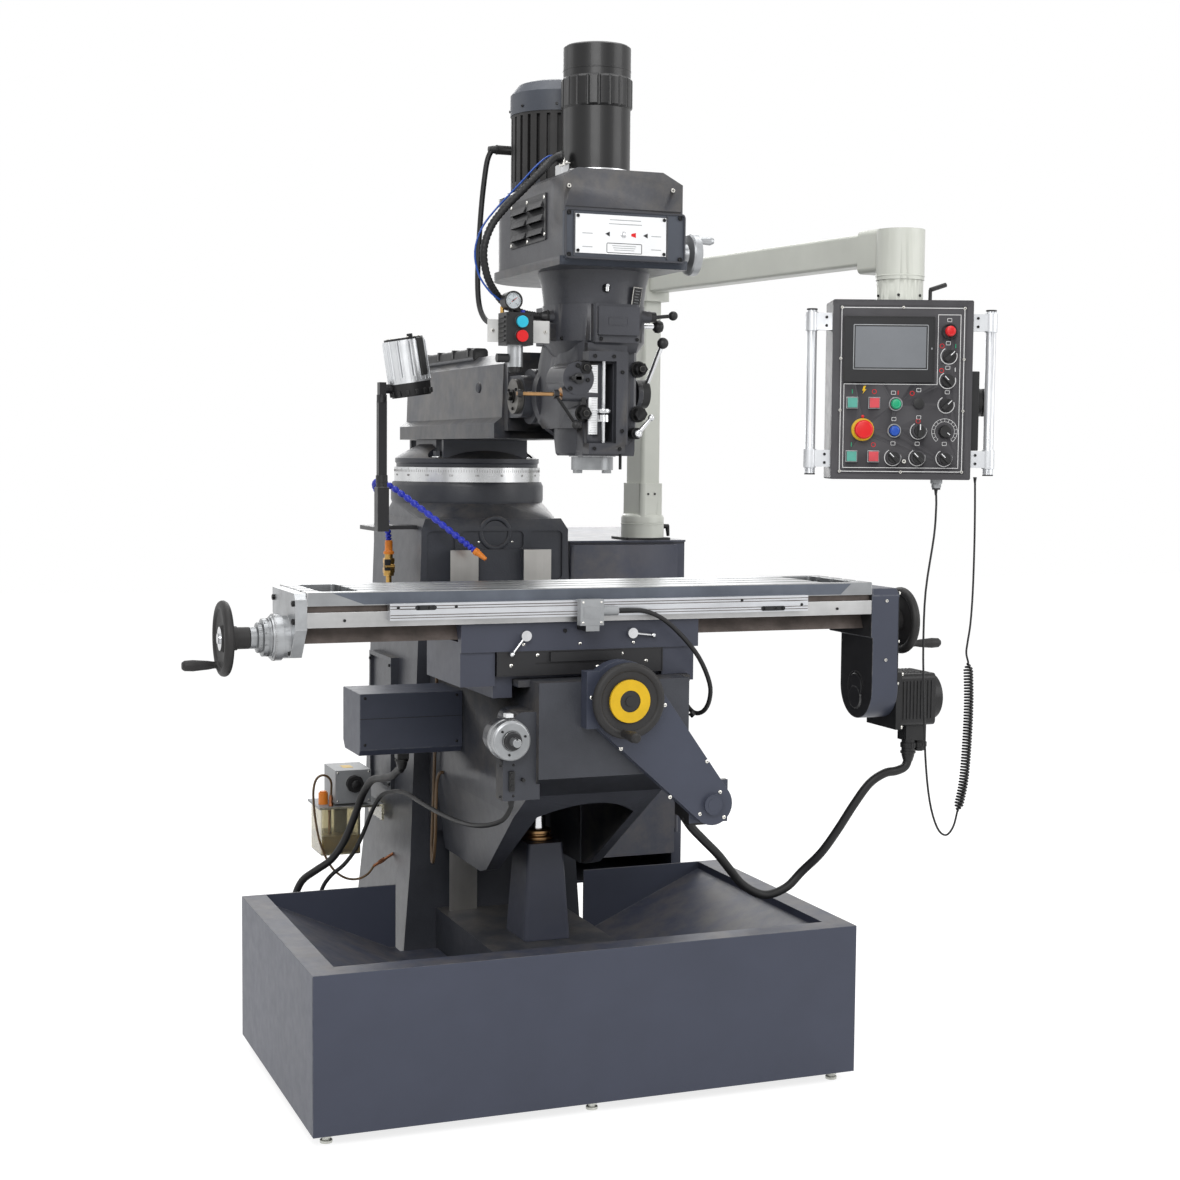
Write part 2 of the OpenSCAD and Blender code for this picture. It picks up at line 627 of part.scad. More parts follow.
module table() {
    half = table_length / 2;
    color([0.45, 0.46, 0.47]) difference() {
        union() {
            block([-half, half], [table_front, table_back], [table_base, table_top]);
            // dovetail under the table
            along_x([-half, half]) polygon([[-523.6 + gap, 1029], [-340.4 - gap, 1029],
                [-356.4 - gap, table_base + 1],
                [-507.6 + gap, table_base + 1]]);
        }
        for (k = [-1:1]) t_slot(table_mid + k * slot_pitch);
        // coolant wells at both ends
        for (x = [-half + 32, half - 112]) along_z([table_top - 22, table_top + 1])
            round_rect([x, x + 80], [table_front + 22, table_back - 22], 10);
        // side groove for the stops
        block([-half - 1, half + 1], [table_front - 1, table_front + 10], [table_top - 40, table_top - 28]);
        // tunnel for the long screw
        block([-half - 1, half + 1], [screw_y - 20, screw_y + 20], [1018, table_base + 2]);
    }
}

module table_rail() {
    color([0.70, 0.71, 0.73]) difference() {
        block([-472, 466], [-578, table_front], [1076, 1110]);
        for (z = [1083, 1093, 1103]) block([-473, 467], [-579, -576], [z, z + 2]);
        for (x = [-430, 425]) along_y([-580, -572]) round_rect([x - 24, x + 24], [1090, 1098], 3.9);
    }
}

module left_end_bracket() {
    color([0.62, 0.63, 0.64]) difference() {
        union() {
            along_x([-table_length / 2 - 24, -table_length / 2]) polygon([[table_front, table_top - 14],
                [table_front + 12, table_top - 2], [table_back - 40, table_top - 2],
                    [table_back - 40, 1080],
                [screw_y + 44, 1020], [screw_y + 30, 1000], [screw_y - 30, 1000], [table_front, 1060]]);
            rod_x(43, [-694, -table_length / 2], screw_y, screw_z);
            rod_x(47, [-690, -672], screw_y, screw_z);
        }
        rod_x(14 + run_fit, [-700, -table_length / 2 + 1], screw_y, screw_z);
    }
}

module x_belt_cover() {
    mid_y = -487;
    color([0.24, 0.26, 0.31]) difference() {
        along_x([table_length / 2 + 4, 706]) union() {
            translate([mid_y, 894]) circle(72);
            polygon([[mid_y - 72, 894], [mid_y + 72, 894], [mid_y + 72, 1104], [mid_y + 58, 1119],
                [mid_y - 58, 1119],
                [mid_y - 72, 1104]]);
        }
        rod_x(14 + run_fit, [table_length / 2, 710], screw_y, screw_z);
    }
    color([0.20, 0.21, 0.23]) rod_x(26, [table_length / 2, table_length / 2 + 4], mid_y, 870);
    // plate that joins the cover to the table's end
    color([0.24, 0.26, 0.31]) difference() {
        block([table_length / 2, table_length / 2 + 4], [table_front, table_back - 60], [1010, 1119]);
        rod_x(14 + run_fit, [table_length / 2, 710], screw_y, screw_z);
    }
}

module x_servo() {
    color([0.08, 0.08, 0.09]) {
        block([706, 720], [-552, -422], [800, 930]);
        along_x([720, 812]) round_rect([-546, -428], [806, 924], 12);
        rod_x(52, [812, 836], -487, 865);
        // two elbow connectors below
        block([748, 800], [-528, -490], [770, 806]);
        rod_z(15, [745, 772], 762, -514);
        rod_z(15, [745, 772], 794, -508);
    }
}

module x_screw() {
    color([0.62, 0.62, 0.62]) {
        rod_x(13, [-634, 638], screw_y, screw_z);
        rod_x(14, [-694, -634], screw_y, screw_z);
        rod_x(14, [638, 706.5], screw_y, screw_z);
    }
    // graduated dial and lock collar
    color([0.70, 0.71, 0.72]) translate([-694.4, screw_y, screw_z]) rotate([0, -90, 0])
        rotate_extrude($fn = fine)
        polygon([[0, 0], [38, 0], [38, 16], [30, 18], [30, 26], [22, 28], [22, 40], [12, 42], [0, 42]]);
    rod_x(10.5, [-798, -736], screw_y, screw_z);
    rod_x(10.5, [706, 766], screw_y, screw_z);
    color([0.08, 0.08, 0.09]) {
        translate([-736, screw_y, screw_z]) rotate([0, -90, 0]) {
            rotate_extrude() polygon([[10, 0], [22, 0], [22, 24], [10, 24]]);
            translate([0, 0, 24]) {
                dished_wheel(wheel_radius - 1, 10);
                rotate(180 - 33) translate([wheel_radius - 10, 0, 30]) grip();
            }
        }
        translate([730, screw_y, screw_z]) rotate([0, 90, 0]) {
            dished_wheel(wheel_radius - 1, 10);
            rotate(-43) translate([wheel_radius - 10, 0, 30]) grip();
        }
    }
}

/* ---- Turret, ram and head ---- */
module turret() {
    z = turret_bottom;
    translate([0, turret_y, 0]) {
        // graduated ring
        color([0.70, 0.71, 0.72]) rod_z(turret_radius, [z, z + 36], 0, 0, $fn = fine);
        color([0.25, 0.26, 0.29]) difference() {
            union() {
                translate([0, 0, z + 36]) rotate_extrude($fn = fine) polygon([[0, 0],
                    [turret_radius - 5, 0],
                    [turret_radius - 5, 8], [turret_radius - 2, 12], [turret_radius - 2, 22],
                        [turret_radius - 20, 34],
                    [122, cap_top - 12 - z - 36], [0, cap_top - 12 - z - 36]]);
                // seat of the ram
                block([-ram_half + 6, ram_half - 6], [-150, 150], [z + 60, cap_top - 0.6]);
            }
            // scalloped pockets for the clamping bolts
            for (a = [45, 135, 225, 315]) rotate(a) translate([turret_radius - 26, 0, z + 60])
                cylinder(r = 24, h = 60);
        }
        color([0.6, 0.6, 0.6]) for (a = [45, 135, 225, 315]) rotate(a)
            translate([turret_radius - 26, 0, z + 60]) hex_bolt(19, 16);
    }
}

module ram() {
    top = 1637;
    color([0.25, 0.26, 0.29]) difference() {
        union() {
            along_y([-212, 560]) polygon([[-ram_half - 18, cap_top], [ram_half + 18, cap_top],
                [ram_half + 18, 1478],
                [ram_half, 1492], [ram_half - 4, top - 26], [ram_half - 34, top], [-ram_half + 34, top],
                [-ram_half + 4, top - 26], [-ram_half, 1492], [-ram_half - 18, 1478]]);
            // round nose that carries the head's adapter
            block([-ram_half + 6, ram_half - 6], [-236, -211], [1462, 1618]);
        }
        // hollow rear
        block([-70, 70], [300, 561], [1490, 1600]);
    }
    // black cable duct on top
    color([0.10, 0.10, 0.11]) {
        along_y([60, 520]) round_rect([-96, -58], [top - 10, top + 22], 10);
    }
    // ears of the nod pivot
    color([0.25, 0.26, 0.29]) for (side = [-1, 1]) scale([side, 1, 1]) difference() {
        union() {
            rod_x(46, [82, 106], nod_y, nod_z);
            block([82, 106], [nod_y, -211], [nod_z - 46, nod_z + 46]);
        }
        rod_x(24, [81, 107], nod_y, nod_z);
    }
}

module ram_adapter() {
    color([0.27, 0.28, 0.30]) {
        rod_x(60, [-81.6, 81.6], nod_y, nod_z);
        rod_x(24 - run_fit, [-108, 108], nod_y, nod_z);
        block([-72, 72], [-353, nod_y], [nod_z - 58, nod_z + 58]);
        rod_y(96, [-368, -352], 0, nod_z);
    }
    // graduated pivot covers
    color([0.55, 0.55, 0.54]) {
        rod_x(38, [-120, -106.4], nod_y, nod_z);
        rod_x(38, [106.4, 120], nod_y, nod_z);
    }
}

module head_casting() {
    bolt_xz = [for (x = [-62, 62], z = [1495, 1588]) [x, z]];
    color([0.27, 0.28, 0.30]) difference() {
        union() {
            // lower quill housing, round with a flat front
            translate([0, spindle_y, 1408]) rotate_extrude($fn = fine)
                polygon([[0, 0], [74, 0], [78, 5], [82, 40], [82, 70], [0, 70]]);
            along_x([-58, 58]) polygon([[-562, 1408], [spindle_y, 1408], [spindle_y, 1480], [-566, 1480],
                [-566, 1418]]);
            // middle body between the quill guide and the adapter, narrower at the front
            intersection() {
                along_x([-86, 86]) polygon([[-566, 1465], [-400, 1465], [-368.4, 1480], [-368.4, 1600],
                    [-400, 1655], [-566, 1655]]);
                along_z([1464, 1656]) polygon([[-55, -566], [55, -566], [66, -552], [86, -500],
                    [86, -368], [-86, -368], [-86, -500], [-66, -552]]);
            }
            // upper casting, round with a flat boss in front
            translate([0, spindle_y, 1612]) rotate_extrude($fn = fine)
                polygon([[0, 0], [84, 0], [104, 28], [108, 33], [108, 109], [0, 109]]);
            along_z([1641, 1720]) round_rect([-44, 58], [-592, -480], 9);
            along_z([1641, 1720]) round_rect([-98, 90], [-470, -372], 18);
            along_x([-42, 56]) polygon([[-588, 1642], [-574, 1622], [-500, 1622], [-500, 1642]]);
            // glands of the two cables, seat of the air unit's plate and boss of the gear lever
            rod_x(12, [-112, -90], -498, 1696);
            rod_x(12, [-112, -80], -400, 1687);
            block([-112, -90], [-514, -497], [1646, 1680]);
            rod_x(13, [56, 104], -530, 1700);
            // round neck, flared towards the housing
            translate([0, spindle_y, 1720]) rotate_extrude($fn = fine)
                polygon([[0, 0], [106, 0], [107, 14], [111, 44], [116, 62], [118, 70], [0, 70]]);
            // bosses behind the clamping bolts
            for (p = bolt_xz) rod_y(17, [-574, -480], p[0], p[1]);
            // flange towards the adapter
            rod_y(96, [-368.4 - 14, -368.4], 0, nod_z);
            // front guide block, top and bottom
            block([-56, 32], [-584, -566], [1412, 1640]);
            block([-60, 28], [-600, -566], [1602, 1622]);
            block([-58, 22], [-600, -566], [1412, 1434]);
            block([2, 28], [-600, -584], [1432, 1604]);
            // raised name panel, left bare
            block([-38, 52], [-600, -592], [1656, 1714]);
            // round feed gear cover and the feed shaft housing
            rod_y(34, [-590, -490], -78, 1566);
            rod_x(14, [-112, -34], -575, 1533);
            // feed hub on the right
            rod_x(31, [86, 96], -490, 1540);
            // boss of the lower lever
            rod_y(14, [-572, -560], 50, 1455);
        }
        // quill bore, open at both ends
        rod_z(53 + run_fit, [1380, 1700], 0, spindle_y, $fn = fine);
        // slot in front of the quill
        block([-18, 0], [-601, -500], [1437, 1598]);
        // slot with the silver pin in the neck
        rod_y(9, [-590, -570], -15, 1752);
        rod_x(10 + run_fit, [60, 98], -490, 1540);
        rod_y(5 + run_fit, [-573, -546], 50, 1455);
    }
    // black clamp bolts
    color([0.10, 0.10, 0.10]) for (p = bolt_xz) translate([p[0], -566, p[1]]) rotate([90, 0, 0])
        hex_bolt(24, 26);
    // feed rod on the left
    color([0.45, 0.34, 0.24]) rod_x(4, [-206, -112], -575, 1533);
    // stop rod and scale plate
    color([0.72, 0.72, 0.73]) {
        rod_z(4, [1433, 1603], -24, -594);
        block([-54, -35], [-588, -584], [1452, 1594]);
    }
    color([0.60, 0.60, 0.58]) rod_z(12, [1478, 1492], -24, -594);
}

module belt_housing() {
    front = -636;
    color([0.25, 0.26, 0.29]) difference() {
        union() {
            // main shell: plan with a rounded rear, sides with chamfered upper front corners
            intersection() {
                along_z([1808, 1985]) union() {
                    translate([-130, front]) square([260, motor_y - front]);
                    translate([0, motor_y]) circle(130, $fn = fine);
                }
                along_y([front, motor_y + 131]) polygon([[-130, 1808], [130, 1808], [130, 1962],
                    [86, 1985], [-100, 1985], [-130, 1968]]);
            }
            // lower flange
            along_z([1790, 1808]) union() {
                translate([-140, front - 4]) square([280, motor_y - front + 4]);
                translate([0, motor_y]) circle(140, $fn = fine);
            }
        }
        // opening for the pulleys, closed by the motor and the drawbar above
        rod_z(50, [1780, 1800], 0, spindle_y);
        rod_x(8 + run_fit, [110, 142], -600, 1826);
    }
    // louvre plate on the left side
    color([0.20, 0.21, 0.23]) difference() {
        along_x([-133, -130]) round_rect([-536, -314], [1850, 1946], 4);
        for (row = [0:2], half = [0, 1])
            block([-134, -132], [-520 + half * 104, -434 + half * 104], [1866 + row * 27, 1874 + row * 27]);
    }
    // speed plate in its frame
    color([0.09, 0.09, 0.10]) along_y([front - 12, front]) round_rect([-133, 131], [1802, 1902], 6);
    color([0.90, 0.90, 0.91]) block([-110, 88], [front - 13.4, front - 12], [1814, 1892]);
}

module spindle_motor() {
    // drive motor standing on the rear of the housing
    color([0.22, 0.23, 0.26]) translate([0, motor_y, 0]) {
        rod_z(104, [1985, 1996], 0, 0, $fn = fine);
        difference() {
            rod_z(104, [1996, 2150], 0, 0, $fn = fine);
            for (k = [0:motor_fins - 1]) rotate(360 / motor_fins * (k + 0.5)) translate([94, -4, 2004])
                cube([12, 8, 140]);
        }
        translate([0, 0, 2150]) rotate_extrude($fn = fine)
            polygon([[0, 0], [106, 0], [106, 44], [88, 66], [76, 70], [0, 70]]);
        // cable gland
        rod_x(10, [-124, -90], 48, 2080);
    }
}

module drawbar_unit() {
    r = drawbar_radius;
    translate([0, spindle_y - 8, 0]) {
        color([0.65, 0.64, 0.60]) rod_z(r + 3, [1985, 2001], 0, 0);
        color([0.05, 0.05, 0.055]) {
            rod_z(r, [2001, 2128], 0, 0, $fn = fine);
            difference() {
                translate([0, 0, 2128]) rotate_extrude($fn = fine) polygon([[0, 0], [r, 0], [r + 4, 5],
                    [r + 4, 60], [r, 65], [0, 65]]);
                for (k = [0:drawbar_grooves - 1]) rotate(360 / drawbar_grooves * k)
                    translate([r + 6, 0, 2127])
                    cylinder(r = 4.5, h = 67, $fn = 16);
            }
            translate([0, 0, 2193]) rotate_extrude($fn = fine) polygon([[0, 0], [r, 0], [r, 62],
                [r - 3, 65], [0, 65]]);
        }
        // bracket at the foot
        color([0.55, 0.55, 0.55]) block([-84, -68], [-20, 20], [1985, 2012]);
    }
}

module quill() {
    color([0.70, 0.70, 0.71]) difference() {
        union() {
            rod_z(53, [1410, 1640], 0, spindle_y, $fn = fine);
            rod_z(50, [nose_height + 28, 1410], 0, spindle_y, $fn = fine);
        }
        rod_z(30 + run_fit, [nose_height + 20, 1641], 0, spindle_y);
    }
}

module spindle() {
    color([0.66, 0.66, 0.67]) translate([0, spindle_y, 0]) difference() {
        union() {
            rod_z(nose_radius, [nose_height, nose_height + 27.6], 0, 0, $fn = fine);
            rod_z(30, [nose_height + 27, 1660], 0, 0);
            for (side = [-1, 1]) block([side * 33 - 8, side * 33 + 8], [-8, 8],
                [nose_height - 7, nose_height + 1]);
        }
        // steep taper socket for the tool, with the drawbar bore above
        translate([0, 0, nose_height - 0.01]) cylinder(r1 = 22.2, r2 = 12.6, h = 66);
        rod_z(8.5, [nose_height + 60, 1661], 0, 0);
    }
}

module feed_lever() {
    translate([0, -490, 1540]) {
        color([0.07, 0.07, 0.07]) rod_x(30, [96.5, 114], 0, 0);
        color([0.4, 0.4, 0.4]) rod_x(10, [62, 97], 0, 0);
        color([0.72, 0.72, 0.73]) translate([108, 0, 0]) rotate([34.8, 7, 0]) translate([0, 0, 24])
            cylinder(r = 5, h = 96);
        color([0.05, 0.05, 0.05]) translate([108, 0, 0]) rotate([34.8, 7, 0]) translate([0, 0, 128])
            sphere(12, $fn = 32);
    }
}

module speed_wheel() {
    translate([140, -600, 1826]) rotate([0, 90, 0]) {
        color([0.6, 0.6, 0.6]) translate([0, 0, -28]) cylinder(r = 8, h = 30);
        color([0.65, 0.66, 0.67]) translate([0, 0, 1]) rotate_extrude($fn = fine)
            polygon([[0, 0], [18, 0], [22, 12], [40, 16], [43, 20], [43, 34], [38, 36], [34, 26], [0, 22]]);
        color([0.55, 0.56, 0.57]) rotate(-20) translate([-34, 0, 30]) rotate_extrude() polygon([[0, 0],
            [5, 0], [6, 8], [9, 44],
            [6, 52], [0, 52]]);
    }
}

module gear_lever() {
    translate([104.4, -530, 1700]) {
        color([0.12, 0.12, 0.12]) rotate([0, 90, 0]) cylinder(r = 11, h = 12);
        color([0.30, 0.30, 0.30]) translate([12, 0, 0]) rotate([0, 84, -8]) cylinder(r = 4, h = 34);
        color([0.05, 0.05, 0.05]) translate([12, 0, 0]) rotate([0, 84, -8]) translate([0, 0, 40])
            sphere(10, $fn = 32);
    }
}

module quill_lock() {
    translate([50, -572.6, 1455]) {
        color([0.10, 0.10, 0.10]) rotate([90, 0, 0]) cylinder(r = 12, h = 24);
        color([0.5, 0.5, 0.5]) translate([0, 24, 0]) rotate([90, 0, 0]) cylinder(r = 5, h = 25);
        color([0.72, 0.72, 0.73]) translate([0, -30, 0]) {
            sphere(9, $fn = 24);
            rotate([0, 42, 0]) ball_lever(44, 5, 7);
        }
    }
}

module drawbar_box() {
    // plate that carries the box on the head
    color([0.88, 0.88, 0.88]) block([-246, -112], [-508, -503], [1640, 1686]);
    // push-button box with its two bores
    color([0.07, 0.07, 0.08]) difference() {
        block([-224, -166], [-560, -508], [1632, 1698]);
        for (z = [1650, 1679]) rod_y(10 + run_fit, [-561, -536], -192, z);
    }
    // pressure gauge
    color([0.09, 0.09, 0.10]) {
        rod_y(19, [-548, -520], -206, 1722);
        rod_z(5, [1698, 1706], -206, -534);
    }
    color([0.92, 0.92, 0.92]) rod_y(16, [-549, -548], -206, 1722);
    // air regulator below
    color([0.55, 0.55, 0.56]) rod_z(16, [1588, 1632], -196, -534);
    color([0.06, 0.06, 0.07]) rod_x(9, [-236, -212], -534, 1606);
}

module box_button(z) translate([-192, -563, z]) rotate([90, 0, 0]) {
    cylinder(r = 12, h = 7);
    translate([0, 0, -18]) cylinder(r = 10, h = 18.1);
}
module open_button() color([0.10, 0.60, 0.75]) box_button(1679);
module close_button() color([0.80, 0.08, 0.12]) box_button(1650);

/* ---- Pendant ---- */
module at_post() translate([post_x, post_y, 0]) rotate(arm_angle) children();
elbow_x = post_x + elbow_reach * sin(arm_angle);
elbow_y = post_y - elbow_reach * cos(arm_angle);
module at_pendant() translate([elbow_x, elbow_y, 0]) rotate(pendant_turn) children();

module pendant_arm() {
    base = cabinet_z[1] + 5 + 44.6;
    color([0.75, 0.76, 0.73]) {
        at_post() {
            rod_z(23.9, [base - 36, base + 1], 0, 0);
            translate([0, 0, base]) rotate_extrude($fn = fine)
                polygon([[0, 0], [56, 0], [56, 13], [53, 19], [46, 23], [0, 23]]);
            along_z([base + 16, base + 103]) round_rect([-35, 35], [-48, 48], 14);
            along_z([base + 100, post_top]) round_rect([-29, 29], [-40, 40], 10);
            // knee of the arm
            along_x([-34, 34]) union() {
                round_rect([-62, 46], [post_top, post_top + 104], 18);
                translate([-62, post_top]) square([60, 60]);
            }
            // long arm
            along_y([-elbow_reach + 100, -60]) round_rect([-27, 27], [post_top + 22, post_top + 92], 8);
            along_y([-elbow_reach + 40, -elbow_reach + 104]) round_rect([-33, 33],
                [post_top + 4, post_top + 98], 12);
            // outer elbow
            rod_z(52, [1790, 1898], 0, -elbow_reach);
        }
    }
}

module pendant_box() {
    w = pendant_width / 2;
    d = pendant_depth / 2;
    low = pendant_top - pendant_height;
    color([0.16, 0.16, 0.18]) at_pendant() difference() {
        along_y([-d, d]) round_rect([-w, w], [low, pendant_top], 4);
        // face panel recess
        along_y([-d - 1, -d + 1]) round_rect([-w + 14, w - 14], [low + 12, pendant_top - 12], 4);
        // bores of the controls
        for (c = round_controls) on_face(c[0], c[1]) translate([0, 0, -30]) cylinder(r = c[2], h = 40);
    }
    // swivel under the arm's elbow
    color([0.75, 0.76, 0.73]) at_pendant() rod_z(50, [pendant_top, 1789.6], 0, 0);
    color([0.06, 0.06, 0.06]) at_pendant() {
        rod_z(4, [pendant_top, pendant_top + 26], 66, 0);
        translate([66, 0, pendant_top + 26]) rotate([0, 72, 20]) cylinder(r = 5, h = 40);
        // cord gland
        rod_z(9, [low - 22, low], 88, 0);
    }
    // fixed controls: square buttons, the plug and the lower selectors
    color([0.2, 0.2, 0.2]) {
        for (u = [-106, -59], v = [-28, -142]) at_face(u, v) translate([-11, -11, 0]) cube([22, 22, 6]);
        at_face(36, -28) cylinder(r = 12, h = 3);
        for (c = [[37, -87], [-17, -144], [35, -144], [93, -145]]) at_face(c[0], c[1])
            cylinder(r = 15, h = 14);
        at_face(-29, 86) translate([-98, -70, 0]) cube([196, 140, 4]);
        at_face(-83, -85) difference() {
            cylinder(r = 24, h = 3);
            translate([0, 0, -1]) cylinder(r = 8 + run_fit, h = 5);
        }
    }
    // aluminium handles on both sides
    color([0.75, 0.76, 0.77]) at_pendant() for (side = [-1, 1]) scale([side, 1, 1]) {
        rod_z(11, [low + 10, pendant_top - 20], w + 42, -d + 22);
        for (z = [low + 26, pendant_top - 64]) block([w, w + 36], [-d + 12, -d + 32], [z, z + 36]);
    }
}

round_controls = [[-83, -85, 8 + 0.05], [93, -88, 6.05], [99, 125, 7.05], [-13, -30, 7.05],
    [-15, -87, 7.05],
    [99, 73, 6.05], [97, 21, 6.05], [95, -31, 6.05]];
// Places a control on the pendant's face: u to the right and v up from the middle, its axis out of the
// face.
module on_face(u, v) translate([u, -pendant_depth / 2, pendant_top - pendant_height / 2 + v])
    rotate([90, 0, 0]) children();
module at_face(u, v) at_pendant() on_face(u, v) children();

module estop() color([0.80, 0.08, 0.06]) at_face(-83, -85) {
    translate([0, 0, 9]) rotate_extrude() polygon([[0, 0], [16, 0], [20, 8], [20, 13], [17, 17], [0, 19]]);
    translate([0, 0, -20]) cylinder(r = 8, h = 29.1);
}
module override_knob() color([0.06, 0.06, 0.06]) at_face(93, -88) {
    translate([0, 0, 0.5]) cylinder(r1 = 14, r2 = 12, h = 16);
    translate([0, 0, -18]) cylinder(r = 6, h = 19);
}
module face_button(u, v, height) at_face(u, v) {
    translate([0, 0, 5.5]) rotate_extrude() polygon([[0, 0], [11, 0], [11, height - 3], [8, height],
        [0, height + 1]]);
    translate([0, 0, -20]) cylinder(r = 7, h = 26);
}
module power_button() color([0.80, 0.08, 0.06]) face_button(99, 125, 12);
module start_button() color([0.05, 0.50, 0.35]) face_button(-13, -30, 6);
module reset_button() color([0.06, 0.22, 0.55]) face_button(-15, -87, 6);
module selector(u, v, turn) at_face(u, v) {
    translate([0, 0, -18]) cylinder(r = 6, h = 19);
    rotate(turn) translate([0, 0, 0.5]) {
        cylinder(r = 13, h = 6);
        translate([-4, -13, 5]) cube([8, 26, 12]);
    }
}
module selector_top() color([0.06, 0.06, 0.06]) selector(99, 73, -45);
module selector_middle() color([0.06, 0.06, 0.06]) selector(97, 21, 45);
module selector_low() color([0.06, 0.06, 0.06]) selector(95, -31, -45);

module mpg_unit() {
    // hand pulse generator hung on the pendant's right side
    color([0.07, 0.07, 0.08]) at_pendant() {
        mid = pendant_top - pendant_height / 2 - 44;
        block([pendant_width / 2, pendant_width / 2 + 20], [-34, 34], [mid - 84, mid + 86]);
        rod_x(30, [pendant_width / 2 + 20, pendant_width / 2 + 30], 0, mid + 20);
    }
}

module pendant_cord() color([0.05, 0.05, 0.05]) {
    tube(pendant_cord_route, 5, 3, 8, [0.1, 1, 0.1]);
    tube(curly_cord_route, curly_diameter, 4, 10, [0.1, 1, 0.1]);
    tube(thin_cord_route, 5, 3, 8, [0.1, 1, 0.1]);
}
module head_cables() color([0.05, 0.05, 0.05]) {
    tube(motor_cable_route, 12, 3, 8, [0.3, 1, 0.1]);
    tube(conduit_route, 16, 3, 8, [0.1, 1, 0.1]);
}
module left_cables() {
    color([0.05, 0.05, 0.05]) {
        tube(left_cable_route, 18, 2, 8, [1, 0.1, 0.4]);
        tube(dial_cable_route, 10, 2, 8, [1, 0.1, 0.4]);
        // connectors that hang on their ends behind the tray
        rod_z(15, [150, 203.8], -474, 304);
        rod_z(11, [170, 213.8], -416, 276);
    }
    color([0.42, 0.30, 0.22]) tube(oil_tube_route, 8, 2, 8, [1, 0.1, 0.4]);
}
module right_cable() color([0.05, 0.05, 0.05]) tube(right_cable_route, 20, 2, 8, [0.1, 1, 0.1]);
module reader_cable() color([0.10, 0.10, 0.10]) tube(reader_route, 6, 3, 8, [0.1, 1, 0.1]);

coolant_tray();
levelling_feet();
column();
elevating_pedestal();
electrical_cabinet();
post_base();
lube_unit();
coolant_hose();
lamp_bracket();
cabinet_door();
lamp_arm();
work_light();
knee();
y_drive();
z_drive_cover();
z_dial();
elevating_screw();
y_handwheel();
saddle();
saddle_wipers();
lock_lever_left();
lock_lever_right();
table();
table_rail();
left_end_bracket();
x_belt_cover();
x_servo();
x_screw();
turret();
ram();
ram_adapter();
head_casting();
belt_housing();
spindle_motor();
drawbar_unit();
quill();
spindle();
feed_lever();
speed_wheel();
gear_lever();
quill_lock();
drawbar_box();
open_button();
close_button();
pendant_arm();
pendant_box();
mpg_unit();
pendant_cord();
estop();
override_knob();
power_button();
start_button();
reset_button();
selector_top();
selector_middle();
selector_low();
head_cables();
left_cables();
right_cable();
reader_cable();
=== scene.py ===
import math
import bmesh
import bpy
import json
from mathutils import Matrix, Vector


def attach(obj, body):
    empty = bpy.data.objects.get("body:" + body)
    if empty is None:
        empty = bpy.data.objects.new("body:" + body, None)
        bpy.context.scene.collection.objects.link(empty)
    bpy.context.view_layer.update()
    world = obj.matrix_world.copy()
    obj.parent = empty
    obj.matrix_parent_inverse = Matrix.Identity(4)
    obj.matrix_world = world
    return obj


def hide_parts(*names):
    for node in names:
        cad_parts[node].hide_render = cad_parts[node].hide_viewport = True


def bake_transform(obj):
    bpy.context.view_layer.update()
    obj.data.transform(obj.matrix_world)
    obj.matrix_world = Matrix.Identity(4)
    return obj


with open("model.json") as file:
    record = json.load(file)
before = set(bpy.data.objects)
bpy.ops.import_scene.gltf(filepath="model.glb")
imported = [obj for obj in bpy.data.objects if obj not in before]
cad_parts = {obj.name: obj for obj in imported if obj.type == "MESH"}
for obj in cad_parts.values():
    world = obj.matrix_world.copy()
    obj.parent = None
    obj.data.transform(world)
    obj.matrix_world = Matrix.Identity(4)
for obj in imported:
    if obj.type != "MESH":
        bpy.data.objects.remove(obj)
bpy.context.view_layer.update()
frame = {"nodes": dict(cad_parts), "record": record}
print("frame loaded")

camera = {"spot": (-1.47435, -4.22257, 1.40985), "yaw": 0.374, "pitch": -0.0713, "roll": 0.0088, "lens": 57.707}


def placeCamera():
    yaw, pitch, roll = camera["yaw"], camera["pitch"], camera["roll"]
    ahead = Vector((math.sin(yaw) * math.cos(pitch), math.cos(yaw) * math.cos(pitch), math.sin(pitch)))
    right = Vector((math.cos(yaw), -math.sin(yaw), 0))
    above = right.cross(ahead)
    right, above = (right * math.cos(roll) + above * math.sin(roll), above * math.cos(roll) - right * math.sin(roll))
    data = bpy.data.cameras.new("camera")
    data.lens, data.sensor_width, data.clip_end = camera["lens"], 36, 60
    made = bpy.data.objects.new("camera", data)
    bpy.context.collection.objects.link(made)
    place = Matrix((right, above, -ahead)).transposed().to_4x4()
    place.translation = Vector(camera["spot"])
    made.matrix_world = place
    bpy.context.scene.camera = made


placeCamera()


def tint(red, green, blue):
    # a screen colour from 0 to 255, as linear light
    return tuple(c / 12.92 if c <= 0.04045 else ((c + 0.055) / 1.055) ** 2.4
                 for c in (red / 255, green / 255, blue / 255)) + (1,)


def addNode(tree, kind, settings=None, **values):
    made = tree.nodes.new("ShaderNode" + kind)
    for key, value in (settings or {}).items():
        setattr(made, key, value)
    for key, value in values.items():
        made.inputs[key.replace("_", " ")].default_value = value
    return made


def newGroup(name, takes, gives):
    tree = bpy.data.node_groups.new(name, "ShaderNodeTree")
    for label, kind, value in takes:
        tree.interface.new_socket(name=label, in_out="INPUT", socket_type=kind).default_value = value
    for label in gives:
        tree.interface.new_socket(name=label, in_out="OUTPUT", socket_type="NodeSocketFloat")
    return tree, tree.nodes.new("NodeGroupInput"), tree.nodes.new("NodeGroupOutput")


